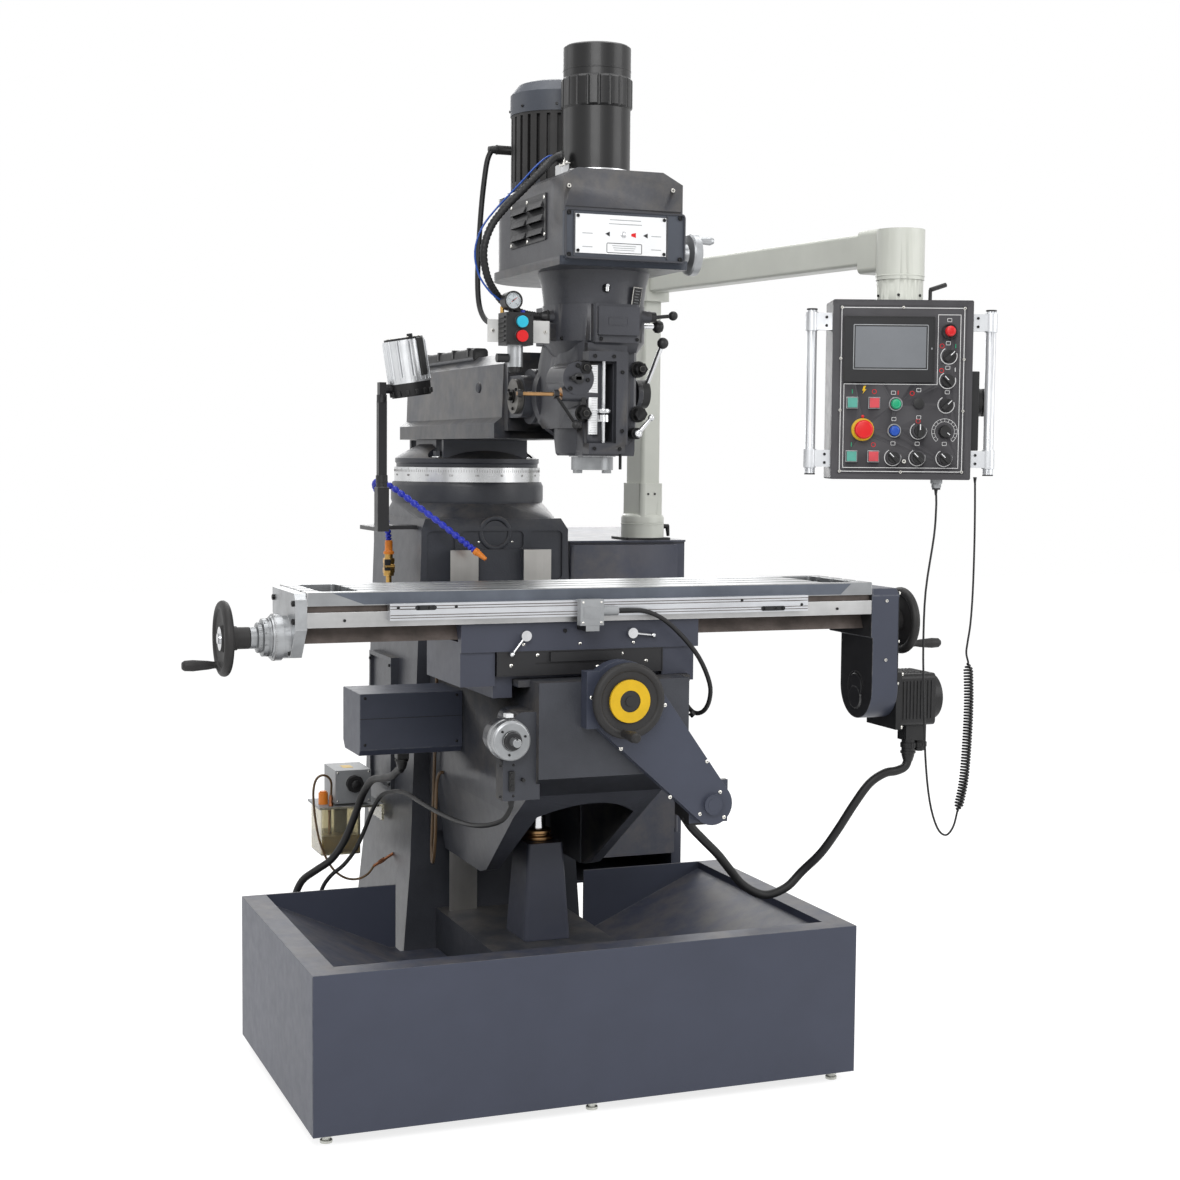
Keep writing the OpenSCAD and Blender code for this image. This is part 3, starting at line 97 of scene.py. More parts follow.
def mathNode(tree, operation, first, second, clamp=False):
    made = addNode(tree, "Math", {"operation": operation, "use_clamp": clamp})
    for slot, value in enumerate((first, second)):
        if isinstance(value, (int, float)):
            made.inputs[slot].default_value = value
        else:
            tree.links.new(value, made.inputs[slot])
    return made.outputs[0]


def buildSurface():
    # cast or painted skin: fine relief, slow mottling and a change of gloss
    tree, takes, gives = newGroup("surfaceGrain", [("Scale", "NodeSocketFloat", 200.0), ("Mottle", "NodeSocketFloat", 5.0)],
                                  ["Height", "Tone", "Gloss"])
    spot = addNode(tree, "TexCoord")
    fineNoise = addNode(tree, "TexNoise", Detail=3.0, Roughness=0.55)
    slowNoise = addNode(tree, "TexNoise", Detail=5.0, Roughness=0.6)
    glossNoise = addNode(tree, "TexNoise", Scale=38.0, Detail=4.0)
    for noise in (fineNoise, slowNoise, glossNoise):
        tree.links.new(spot.outputs["Object"], noise.inputs["Vector"])
    tree.links.new(takes.outputs["Scale"], fineNoise.inputs["Scale"])
    tree.links.new(takes.outputs["Mottle"], slowNoise.inputs["Scale"])
    tree.links.new(fineNoise.outputs[0], gives.inputs["Height"])
    tree.links.new(mathNode(tree, "MULTIPLY_ADD", slowNoise.outputs[0], 2.2, True), gives.inputs["Tone"])
    tree.nodes[-1].inputs[2].default_value = -0.6
    tree.links.new(glossNoise.outputs[0], gives.inputs["Gloss"])
    return tree


def buildEdges():
    # rubbed and chipped places along the rounded edges of a piece
    tree, takes, gives = newGroup("edgeRub", [("Scale", "NodeSocketFloat", 60.0), ("Amount", "NodeSocketFloat", 0.5)], ["Mask"])
    spot = addNode(tree, "TexCoord")
    edge = addNode(tree, "Attribute", {"attribute_name": "edgeMask"})
    noise = addNode(tree, "TexNoise", Detail=6.0, Roughness=0.65)
    tree.links.new(spot.outputs["Object"], noise.inputs["Vector"])
    tree.links.new(takes.outputs["Scale"], noise.inputs["Scale"])
    broken = mathNode(tree, "SUBTRACT", noise.outputs[0], 0.36)
    broken = mathNode(tree, "MULTIPLY", broken, 4.0, True)
    rubbed = mathNode(tree, "MULTIPLY", broken, edge.outputs["Fac"])
    tree.links.new(mathNode(tree, "MULTIPLY", rubbed, takes.outputs["Amount"], True), gives.inputs["Mask"])
    return tree


def buildLines():
    # ground, brushed or drawn metal: streaks stretched along one direction
    tree, takes, gives = newGroup("grindLines", [("Stretch", "NodeSocketVector", (1, 1, 1)),
                                                 ("Scale", "NodeSocketFloat", 30.0)],
                                  ["Height", "Tone"])
    spot = addNode(tree, "TexCoord")
    mapping = addNode(tree, "Mapping")
    tree.links.new(spot.outputs["Object"], mapping.inputs["Vector"])
    tree.links.new(takes.outputs["Stretch"], mapping.inputs["Scale"])
    for label, share in (("Height", 1.0), ("Tone", 0.23)):
        noise = addNode(tree, "TexNoise", Detail=4.0, Roughness=0.7)
        tree.links.new(mapping.outputs[0], noise.inputs["Vector"])
        tree.links.new(mathNode(tree, "MULTIPLY", takes.outputs["Scale"], share), noise.inputs["Scale"])
        tree.links.new(noise.outputs[0], gives.inputs[label])
    return tree


def buildFilm():
    # dust and dried oil that settle on faces turned up
    tree, takes, gives = newGroup("settledFilm", [("Scale", "NodeSocketFloat", 9.0), ("Amount", "NodeSocketFloat", 0.4)],
                                  ["Mask"])
    spot = addNode(tree, "TexCoord")
    facing = addNode(tree, "NewGeometry")
    split = addNode(tree, "SeparateXYZ")
    noise = addNode(tree, "TexNoise", Detail=7.0, Roughness=0.7)
    tree.links.new(spot.outputs["Object"], noise.inputs["Vector"])
    tree.links.new(takes.outputs["Scale"], noise.inputs["Scale"])
    tree.links.new(facing.outputs["Normal"], split.inputs[0])
    turnedUp = mathNode(tree, "MULTIPLY", split.outputs[2], 1.4, True)
    patches = mathNode(tree, "SUBTRACT", noise.outputs[0], 0.4)
    patches = mathNode(tree, "MULTIPLY", patches, 4.5, True)
    both = mathNode(tree, "MULTIPLY", turnedUp, patches)
    tree.links.new(mathNode(tree, "MULTIPLY", both, takes.outputs["Amount"], True), gives.inputs["Mask"])
    return tree


surfaceGrain, edgeRub, grindLines, settledFilm = buildSurface(), buildEdges(), buildLines(), buildFilm()
rubbedPaint, bareMetal, oldDust = tint(112, 114, 118), tint(170, 170, 168), tint(120, 112, 98)


def paint(slot, screenColour, rough, metal=0, grain=(400, 0.01), mottle=(8, 0.1), edge=None, lines=None, film=None, coat=0,
          glass=0):
    # grain: scale and height in mm; mottle: scale and amount; edge: colour and amount; lines: stretch, scale, height in mm and
    # amount; film: scale, amount and colour
    return {"slot": slot, "colour": tint(*screenColour), "rough": rough, "metal": metal, "grain": grain, "mottle": mottle,
            "edge": edge, "lines": lines, "film": film, "coat": coat, "glass": glass}


finishes = {
    "trayPaint": paint("tray_paint", (60, 64, 78), 0.42, grain=(900, 0.05), mottle=(4, 0.10), edge=(rubbedPaint, 0.5),
                        film=(11, 0.3, oldDust)),
    "greyPaint": paint("grey_paint", (60, 63, 75), 0.4, grain=(800, 0.05), mottle=(5, 0.12), edge=(rubbedPaint, 0.4),
                        film=(12, 0.2, oldDust)),
    "navyPaint": paint("belt_cover_paint", (58, 62, 75), 0.42, grain=(1000, 0.03), mottle=(6, 0.10), edge=(rubbedPaint, 0.35)),
    "castPaint": paint("casting", (55, 57, 63), 0.36, grain=(190, 0.35), mottle=(7, 0.22), edge=(rubbedPaint, 0.45),
                        film=(14, 0.25, oldDust)),
    "headPaint": paint("casting", (58, 59, 64), 0.34, grain=(230, 0.28), mottle=(9, 0.25), edge=(rubbedPaint, 0.5),
                        film=(20, 0.2, oldDust)),
    "motorPaint": paint("motor_grey", (62, 66, 74), 0.45, grain=(500, 0.1), mottle=(8, 0.15), edge=(rubbedPaint, 0.4)),
    "postPaint": paint("warm_grey", (190, 192, 184), 0.32, grain=(900, 0.02), mottle=(5, 0.08),
                        edge=(tint(215, 216, 210), 0.3)),
    "pendantPaint": paint("pendant_paint", (58, 57, 60), 0.5, grain=(1400, 0.06), mottle=(12, 0.15),
                           edge=(tint(98, 98, 98), 0.4)),
    "printLine": paint("pendant_paint", (205, 205, 205), 0.5, grain=(1500, 0.01), mottle=(40, 0.05)),
    "blackPlastic": paint("black_plastic", (26, 26, 27), 0.42, grain=(1500, 0.05), mottle=(20, 0.2),
                           edge=(tint(70, 70, 70), 0.3)),
    "blackSteelAndShade": paint("black_steel", (34, 34, 36), 0.38, grain=(700, 0.06), mottle=(15, 0.2),
                         edge=(tint(110, 110, 110), 0.5)),
    "boltBlack": paint("black_steel", (24, 24, 25), 0.3, metal=0.4, grain=(900, 0.03), mottle=(40, 0.3),
                        edge=(tint(120, 118, 112), 0.5)),
    "gloss": paint("drawbar_black", (15, 15, 16), 0.36, grain=(900, 0.02), mottle=(14, 0.15),
                    edge=(tint(64, 64, 66), 0.35), coat=0.1),
    "wheelBlackAndShade": paint("wheel_black", (36, 35, 35), 0.55, grain=(1300, 0.08), mottle=(18, 0.2), edge=(tint(74, 73, 72), 0.4)),
    "cableBlack": paint("cable_rubber", (22, 22, 23), 0.5, grain=(1800, 0.05), mottle=(20, 0.25)),
    "oilTube": paint("cable_rubber", (96, 76, 54), 0.3, grain=(900, 0.02), mottle=(30, 0.4)),
    "airTube": paint("hose_blue", (28, 70, 150), 0.3, grain=(900, 0.01), mottle=(20, 0.1)),
    "hoseBlue": paint("hose_blue", (44, 56, 178), 0.33, grain=(900, 0.02), mottle=(25, 0.12), edge=(tint(80, 92, 205), 0.4)),
    "nozzleOrange": paint("hose_blue", (222, 128, 40), 0.35, grain=(900, 0.02), mottle=(30, 0.1)),
    "brass": paint("hose_blue", (186, 148, 84), 0.3, metal=1, grain=(300, 0.03), mottle=(40, 0.3),
                    edge=(tint(226, 196, 130), 0.5)),
    "bronze": paint("casting", (168, 132, 92), 0.34, metal=1, mottle=(40, 0.3), lines=((1, 1, 30), 40, 0.02, 0.3)),
    "copper": paint("pump", (150, 100, 72), 0.28, metal=1, grain=(300, 0.02), mottle=(40, 0.3)),
    "groundSteel": paint("casting", (196, 194, 190), 0.3, metal=1, mottle=(9, 0.12), lines=((1, 1, 0.04), 260, 0.02, 0.3)),
    "tableTop": paint("table_iron", (150, 152, 154), 0.3, metal=0.9, mottle=(7, 0.22),
                       lines=((0.05, 1, 1), 220, 0.02, 0.28), edge=(bareMetal, 0.5), film=(13, 0.25, tint(92, 90, 86))),
    "tableSide": paint("table_iron", (178, 178, 178), 0.34, metal=0.9, mottle=(8, 0.2),
                        lines=((0.05, 1, 1), 200, 0.02, 0.3), edge=(tint(225, 225, 225), 0.5)),
    "darkLip": paint("table_iron", (96, 101, 110), 0.36, metal=0.8, mottle=(10, 0.2), lines=((0.05, 1, 1), 220, 0.02, 0.3),
                      edge=(bareMetal, 0.4)),
    "oldIronAndShade": paint("table_iron", (92, 84, 80), 0.5, metal=0.5, mottle=(16, 0.5), lines=((0.08, 1, 1), 150, 0.03, 0.4)),
    "railAlloy": paint("rail_alloy", (206, 208, 212), 0.3, metal=0.95, mottle=(10, 0.12),
                        lines=((0.02, 1, 1), 420, 0.015, 0.35), edge=(tint(236, 236, 236), 0.5)),
    "brightSteel": paint("lever_chrome", (206, 207, 209), 0.18, metal=1, grain=(400, 0.01), mottle=(30, 0.15)),
    "quillSteel": paint("lever_chrome", (150, 151, 153), 0.26, metal=1, mottle=(24, 0.2),
                         lines=((1, 1, 12), 60, 0.01, 0.3), edge=(tint(226, 226, 226), 0.5)),
    "screwZinc": paint("lever_chrome", (214, 212, 206), 0.26, metal=1, grain=(400, 0.02), mottle=(60, 0.2)),
    "footZinc": paint("zinc", (206, 207, 200), 0.36, metal=0.7, grain=(300, 0.05), mottle=(30, 0.3)),
    "ringSteel": paint("dial_steel", (208, 209, 210), 0.27, metal=1, mottle=(10, 0.15),
                        lines=((1, 1, 0.05), 240, 0.015, 0.4), edge=(tint(240, 240, 240), 0.5)),
    "dialGrey": paint("dial_steel", (150, 152, 154), 0.36, metal=0.8, mottle=(20, 0.2), lines=((1, 20, 1), 50, 0.01, 0.2),
                       edge=(tint(215, 215, 215), 0.5)),
    "castAlloy": paint("dial_steel", (158, 160, 162), 0.34, metal=0.75, grain=(420, 0.12), mottle=(14, 0.25),
                        edge=(tint(215, 215, 215), 0.5)),
    "adapterSteel": paint("casting", (112, 110, 106), 0.38, metal=0.8, mottle=(18, 0.35), lines=((1, 1, 8), 90, 0.02, 0.3)),
    "lampAlloy": paint("lamp_alloy", (214, 216, 218), 0.3, metal=0.9, mottle=(12, 0.1), lines=((1, 1, 0.06), 320, 0.015, 0.25)),
    "handleAlloy": paint("rail_alloy", (214, 216, 219), 0.3, metal=0.55, mottle=(12, 0.08),
                          lines=((1, 1, 0.05), 420, 0.01, 0.25)),
    "pumpGrey": paint("pump", (140, 142, 144), 0.4, grain=(1200, 0.06), mottle=(14, 0.15), edge=(tint(185, 185, 185), 0.3)),
    "oil": paint("pump", (140, 112, 30), 0.12, grain=(60, 0.1), mottle=(12, 0.3)),
    "clearPlastic": paint("pump", (214, 208, 184), 0.08, glass=0.86, grain=(200, 0.02), mottle=(12, 0.2)),
    "glassCover": paint("black_plastic", (240, 244, 246), 0.03, glass=1.0, grain=(60, 0.002), mottle=(12, 0.02)),
    "markBlack": paint("black_plastic", (28, 28, 30), 0.5, grain=(900, 0.01), mottle=(40, 0.1)),
    "plateWhite": paint("black_plastic", (226, 227, 228), 0.34, grain=(900, 0.01), mottle=(9, 0.05)),
    "bracketWhite": paint("black_plastic", (208, 208, 206), 0.38, grain=(900, 0.02), mottle=(12, 0.1),
                           edge=(tint(120, 120, 120), 0.3)),
    "screenGrey": paint("pendant_paint", (116, 119, 123), 0.16, grain=(30, 0.002), mottle=(5, 0.12)),
    "screenFrame": paint("pendant_paint", (30, 30, 32), 0.3, grain=(1500, 0.01), mottle=(20, 0.1),
                          edge=(tint(70, 70, 72), 0.4)),
    "red": paint("red_button", (204, 26, 30), 0.28, grain=(600, 0.01), mottle=(20, 0.12), edge=(tint(232, 92, 92), 0.4)),
    "green": paint("green_button", (22, 150, 106), 0.26, grain=(600, 0.01), mottle=(30, 0.15), edge=(tint(120, 200, 170), 0.4)),
    "tealCap": paint("green_button", (84, 156, 142), 0.3, grain=(600, 0.01), mottle=(30, 0.12),
                      edge=(tint(140, 196, 184), 0.4)),
    "roseCap": paint("red_button", (196, 72, 80), 0.3, grain=(600, 0.01), mottle=(30, 0.12), edge=(tint(226, 130, 134), 0.4)),
    "blue": paint("blue_button", (28, 76, 170), 0.26, grain=(600, 0.01), mottle=(30, 0.15), edge=(tint(110, 150, 215), 0.4)),
    "cyan": paint("green_button", (40, 172, 200), 0.28, grain=(600, 0.01), mottle=(30, 0.1), edge=(tint(130, 210, 225), 0.4)),
    "yellow": paint("wheel_black", (208, 168, 22), 0.42, grain=(700, 0.03), mottle=(20, 0.12), edge=(tint(232, 200, 80), 0.3)),
    "lens": paint("lamp_alloy", (150, 154, 158), 0.06, grain=(100, 0.01), mottle=(60, 0.2), coat=0.6),
}
madeFinishes = {}
skin = {"specular": 0.35, "lineShade": 0.45, "glossLow": 0.86}


def finish(name):
    if name in madeFinishes:
        return madeFinishes[name]
    spec = finishes[name]
    material = bpy.data.materials.new(name)
    material.use_nodes = True
    tree = material.node_tree
    shader = next(n for n in tree.nodes if n.type == "BSDF_PRINCIPLED")
    shader.inputs["Metallic"].default_value = spec["metal"]
    shader.inputs["Specular IOR Level"].default_value = skin["specular"]
    shader.inputs["Coat Weight"].default_value = spec["coat"]
    shader.inputs["Transmission Weight"].default_value = spec["glass"]
    grainScale, grainHeight = spec["grain"]
    mottleScale, mottleAmount = spec["mottle"]
    grain = addNode(tree, "Group", {"node_tree": surfaceGrain}, Scale=float(grainScale), Mottle=float(mottleScale))
    colour = addNode(tree, "Mix", {"data_type": "RGBA"})
    base = spec["colour"]
    colour.inputs[6].default_value = tuple(c * (1 - mottleAmount) for c in base[:3]) + (1,)
    colour.inputs[7].default_value = tuple(min(c * (1 + mottleAmount), 1) for c in base[:3]) + (1,)
    tree.links.new(grain.outputs["Tone"], colour.inputs[0])
    shown, height, depth = colour.outputs[2], grain.outputs["Height"], grainHeight

    def lay(mask, over, under):
        mix = addNode(tree, "Mix", {"data_type": "RGBA"})
        tree.links.new(mask, mix.inputs[0])
        tree.links.new(under, mix.inputs[6])
        mix.inputs[7].default_value = over
        return mix.outputs[2]

    if spec["lines"]:
        stretch, scale, depth, amount = spec["lines"]
        lines = addNode(tree, "Group", {"node_tree": grindLines}, Stretch=stretch, Scale=float(scale))
        shown = lay(mathNode(tree, "MULTIPLY", lines.outputs["Tone"], amount),
                    tuple(c * skin["lineShade"] for c in base[:3]) + (1,), shown)
        height = lines.outputs["Height"]
    if spec["film"]:
        scale, amount, over = spec["film"]
        film = addNode(tree, "Group", {"node_tree": settledFilm}, Scale=float(scale), Amount=float(amount))
        shown = lay(film.outputs["Mask"], over, shown)
    if spec["edge"]:
        over, amount = spec["edge"]
        rub = addNode(tree, "Group", {"node_tree": edgeRub}, Amount=float(amount))
        shown = lay(rub.outputs["Mask"], over, shown)
    tree.links.new(shown, shader.inputs["Base Color"])
    rough = mathNode(tree, "MULTIPLY_ADD", grain.outputs["Gloss"], 0.3 * spec["rough"] + 0.02, True)
    tree.nodes[-1].inputs[2].default_value = spec["rough"] * skin["glossLow"]
    tree.links.new(rough, shader.inputs["Roughness"])
    bump = addNode(tree, "Bump", Strength=1.0, Distance=depth / 1000)
    tree.links.new(height, bump.inputs["Height"])
    tree.links.new(bump.outputs[0], shader.inputs["Normal"])
    madeFinishes[name] = material
    return material


# shapes are made in millimetres until a piece is finished
def toward(direction, at=(0, 0, 0)):
    # carries a shape standing along +Z to a place, with its axis along direction
    return Matrix.Translation(at) @ Vector((0, 0, 1)).rotation_difference(Vector(direction)).to_matrix().to_4x4()


def roundEdges(shape, width, sharp=28, segments=2):
    # rounds every edge sharper than that angle, and marks the new strips for the edge rub
    mark = shape.faces.layers.float.get("edgeMask") or shape.faces.layers.float.new("edgeMask")
    edges = [e for e in shape.edges if len(e.link_faces) == 2 and e.calc_face_angle(0) > math.radians(sharp)]
    if edges and width:
        result = bmesh.ops.bevel(shape, geom=edges, offset=width, offset_type="OFFSET", segments=segments, profile=0.5,
                                 affect="EDGES", clamp_overlap=True, material=-1)
        for face in result["faces"]:
            if face.is_valid:
                face[mark] = 1.0
    return shape


class Piece:
    # gathers shapes in millimetres, then becomes one object that rides a body
    def __init__(self, name, body):
        self.name, self.body, self.used, self.whole = name, body, [], bmesh.new()
        self.whole.faces.layers.float.new("edgeMask")

    def add(self, shape, look, place=None, bevel=0.0, sharp=28, segments=2, outward=True):
        if look not in self.used:
            self.used.append(look)
        if outward:
            bmesh.ops.recalc_face_normals(shape, faces=shape.faces)
        roundEdges(shape, bevel, sharp, segments)
        if place is not None:
            bmesh.ops.transform(shape, matrix=place, verts=shape.verts)
        for face in shape.faces:
            face.material_index = self.used.index(look)
        mesh = bpy.data.meshes.new("shape")
        shape.to_mesh(mesh)
        self.whole.from_mesh(mesh)
        bpy.data.meshes.remove(mesh)
        shape.free()
        return self

    def slab(self, x, y, z, look, bevel=1.0, place=None, segments=2):
        shape = bmesh.new()
        bmesh.ops.create_cube(shape, size=1)
        size = (x[1] - x[0], y[1] - y[0], z[1] - z[0])
        bmesh.ops.scale(shape, vec=size, verts=shape.verts)
        bmesh.ops.translate(shape, vec=((x[0] + x[1]) / 2, (y[0] + y[1]) / 2, (z[0] + z[1]) / 2), verts=shape.verts)
        return self.add(shape, look, place, bevel, segments=segments)

    def rod(self, start, end, radius, look, top=None, sides=32, bevel=0.6, place=None):
        start, end = Vector(start), Vector(end)
        shape = bmesh.new()
        bmesh.ops.create_cone(shape, cap_ends=True, segments=sides, radius1=radius, radius2=radius if top is None else top,
                              depth=(end - start).length)
        where = toward(end - start, (start + end) / 2)
        return self.add(shape, look, where if place is None else place @ where, bevel, sharp=50)

    def turned(self, profile, look, at=(0, 0, 0), direction=(0, 0, 1), sides=48, bevel=0.0, place=None):
        # spins a list of (radius, height) about the axis
        shape = bmesh.new()
        points = [shape.verts.new((r, 0, h)) for r, h in profile]
        edges = [shape.edges.new(pair) for pair in zip(points, points[1:])]
        bmesh.ops.spin(shape, geom=points + edges, cent=(0, 0, 0), axis=(0, 0, 1), dvec=(0, 0, 0), angle=math.tau,
                       steps=sides, use_merge=True)
        bmesh.ops.remove_doubles(shape, verts=shape.verts, dist=0.001)
        where = toward(direction, at)
        return self.add(shape, look, where if place is None else place @ where, bevel, sharp=25)

    def cut(self, outline, low, high, look, place=None, bevel=0.8, segments=2):
        # a flat outline in X and Y, drawn up from low to high
        shape = bmesh.new()
        face = shape.faces.new([shape.verts.new((x, y, low)) for x, y in outline])
        risen = bmesh.ops.extrude_face_region(shape, geom=[face])
        bmesh.ops.translate(shape, vec=(0, 0, high - low),
                            verts=[v for v in risen["geom"] if isinstance(v, bmesh.types.BMVert)])
        return self.add(shape, look, place, bevel, segments=segments)

    def ball(self, at, radius, look, squash=(1, 1, 1), place=None):
        shape = bmesh.new()
        bmesh.ops.create_uvsphere(shape, u_segments=24, v_segments=14, radius=radius)
        bmesh.ops.scale(shape, vec=squash, verts=shape.verts)
        where = Matrix.Translation(at)
        return self.add(shape, look, where if place is None else place @ where)

    def screw(self, at, direction, radius=5, look="screwZinc", kind="cap", place=None):
        # a screw head standing on a face: cap has a hex socket, pan a cross slot, hex six flats; the socket's floor and
        # the slot are black, as painted shade
        where = toward(direction, at)
        where = where if place is None else place @ where
        if kind == "hex":
            self.rod((0, 0, 0), (0, 0, radius * 0.35), radius * 1.35, look, sides=20, bevel=0.3, place=where)
            return self.rod((0, 0, radius * 0.3), (0, 0, radius * 1.1), radius, look, sides=6, bevel=radius * 0.12, place=where)
        high = radius * (0.9 if kind == "cap" else 0.5)
        inner = radius * 0.5
        deep = high - radius * 0.35
        if kind == "cap":
            self.turned([(0, deep), (inner, deep), (inner, high), (radius * 0.88, high), (radius, high - radius * 0.14),
                         (radius, 0), (0, 0)],
                        look, sides=18, place=where)
            # the socket's floor: a black hexagon, painted shade in the socket
            return self.rod((0, 0, deep), (0, 0, deep + 0.05), inner * 0.98, "markBlack", sides=6, bevel=0, place=where)
        self.turned([(0, high), (radius * 0.55, high * 0.9), (radius * 0.9, high * 0.5), (radius, 0), (0, 0)], look,
                    sides=18, place=where)
        # the cross slot: two black bars on the head, painted shade in the slot
        for turn in (0, math.pi / 2):
            arm = where @ Matrix.Rotation(turn + 0.5, 4, "Z")
            self.slab((-radius * 0.5, radius * 0.5), (-radius * 0.09, radius * 0.09), (high * 0.7, high + 0.05),
                      "markBlack", 0, place=arm)
        return self

    def done(self, slot=None):
        mesh = bpy.data.meshes.new(self.name)
        bmesh.ops.scale(self.whole, vec=(0.001,) * 3, verts=self.whole.verts)
        self.whole.to_mesh(mesh)
        self.whole.free()
        for look in self.used:
            mesh.materials.append(finish(look))
        mesh.shade_smooth()
        for face in mesh.polygons:
            if face.area > 0.0025 or len(face.vertices) > 30 and face.area > 0.0004:
                face.use_smooth = False
        mesh.set_sharp_from_angle(angle=math.radians(38))
        made = bpy.data.objects.new(self.name, mesh)
        bpy.context.collection.objects.link(made)
        even = made.modifiers.new("evenShade", "WEIGHTED_NORMAL")
        even.keep_sharp = True
        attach(made, self.body)
        return made


bodyOf = {n: b for b, nodes in frame["record"]["behaviour"]["bodies"].items() for n in nodes}


def dress(node, look, bevel=1.5, regions=(), sharp=28, segments=2, extra=None):
    # a copy of a CAD node's mesh, merged, with rounded edges and a finish for each region
    shape = bmesh.new()
    shape.from_mesh(frame["nodes"][node].data)
    for layer in list(shape.loops.layers.uv):
        shape.loops.layers.uv.remove(layer)
    bmesh.ops.scale(shape, vec=(1000,) * 3, verts=shape.verts)
    bmesh.ops.remove_doubles(shape, verts=shape.verts, dist=0.02)
    bmesh.ops.dissolve_degenerate(shape, dist=0.005, edges=shape.edges)
    bmesh.ops.dissolve_limit(shape, angle_limit=math.radians(0.8), use_dissolve_boundaries=False, verts=shape.verts,
                             edges=shape.edges)
    piece = Piece(node + "Shown", bodyOf[node])
    roundEdges(shape, bevel, sharp, segments)
    piece.used = list(dict.fromkeys([look] + [name for name, test in regions]))
    for face in shape.faces:
        middle, normal = face.calc_center_median(), face.normal
        face.material_index = 0
        for name, test in regions:
            if test(middle, normal):
                face.material_index = piece.used.index(name)
                break
    mesh = bpy.data.meshes.new("shape")
    shape.to_mesh(mesh)
    piece.whole.from_mesh(mesh)
    bpy.data.meshes.remove(mesh)
    shape.free()
    if extra:
        extra(piece)
    shown = piece.done()
    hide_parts(node)
    return shown


# cords, cables and hoses: routes in millimetres
def smoothRoute(points, steps):
    # the same curve through its points that the frame's cords follow, in metres
    points = [Vector(p) for p in points]
    path = []
    for i in range(len(points) - 1):
        a, b, c, d = points[max(i - 1, 0)], points[i], points[i + 1], points[min(i + 2, len(points) - 1)]
        for k in range(steps):
            t = k / steps
            path.append(0.5 * (2 * b + (c - a) * t + (2 * a - 5 * b + 4 * c - d) * t * t + (3 * b - a - 3 * c + d) * t ** 3))
    return [p * 0.001 for p in path + [points[-1]]]


def routeLength(path):
    return sum((b - a).length for a, b in zip(path, path[1:]))


def layTube(name, path, radius, look, sides=12, ribs=None):
    # sweeps a ring of points along the path; ribs gives each ring its share of the radius
    shape = bmesh.new()
    shape.faces.layers.float.new("edgeMask")
    upright = Vector((0.31, 0.2, 0.93)).normalized()
    rings = []
    for i, spot in enumerate(path):
        along = (path[min(i + 1, len(path) - 1)] - path[max(i - 1, 0)]).normalized()
        upright = (upright - along * upright.dot(along)).normalized()
        across = along.cross(upright)
        here = radius * (ribs(i) if ribs else 1)
        ring = [shape.verts.new(spot + here * (upright * math.cos(math.tau * k / sides)
                                               + across * math.sin(math.tau * k / sides)))
                for k in range(sides)]
        if rings:
            for k in range(sides):
                shape.faces.new((rings[-1][k], rings[-1][(k + 1) % sides], ring[(k + 1) % sides], ring[k]))
        rings.append(ring)
    for ring in (rings[0], rings[-1]):
        shape.faces.new(ring)
    bmesh.ops.recalc_face_normals(shape, faces=shape.faces)
    mesh = bpy.data.meshes.new(name)
    shape.to_mesh(mesh)
    shape.free()
    mesh.materials.append(finish(look))
    mesh.shade_smooth()
    mesh.set_sharp_from_angle(angle=math.radians(60))
    made = bpy.data.objects.new(name, mesh)
    bpy.context.collection.objects.link(made)
    return made


def layCord(name, node, points, diameter, look, steps=4, sides=12, ribs=None,
            ends=(), body=None, path=None, across=None):
    path = path or smoothRoute(points, steps)
    made = layTube(name, path, diameter / 2000, look, sides, ribs)
    if across:
        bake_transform(made)
    else:
        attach(made, body or bodyOf[node])
    if node:
        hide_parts(node)
    return made, path


# nut and tapered sleeve, as shares of the cable's radius and the gland's length
glandProfile = [(0, 0), (1.7, 0), (1.7, 0.22), (1.5, 0.26), (1.42, 0.5), (1.12, 0.9), (1.04, 1), (0, 1)]


def relief(name, body, spots, look="blackPlastic"):
    # tapered sleeves and nuts where a cable leaves a housing: (place, direction, cable radius, length)
    piece = Piece(name, body)
    for at, direction, radius, length in spots:
        where = toward(direction, at)
        piece.turned([(radius * r, length * z) for r, z in glandProfile], look, sides=20, place=where)
        for k in range(6):
            piece.slab((-radius * 0.5, radius * 0.5), (radius * 1.45, radius * 1.72), (length * 0.03, length * 0.2), look, 0.2,
                       place=where @ Matrix.Rotation(k * math.tau / 6, 4, "Z"))
    return piece.done()


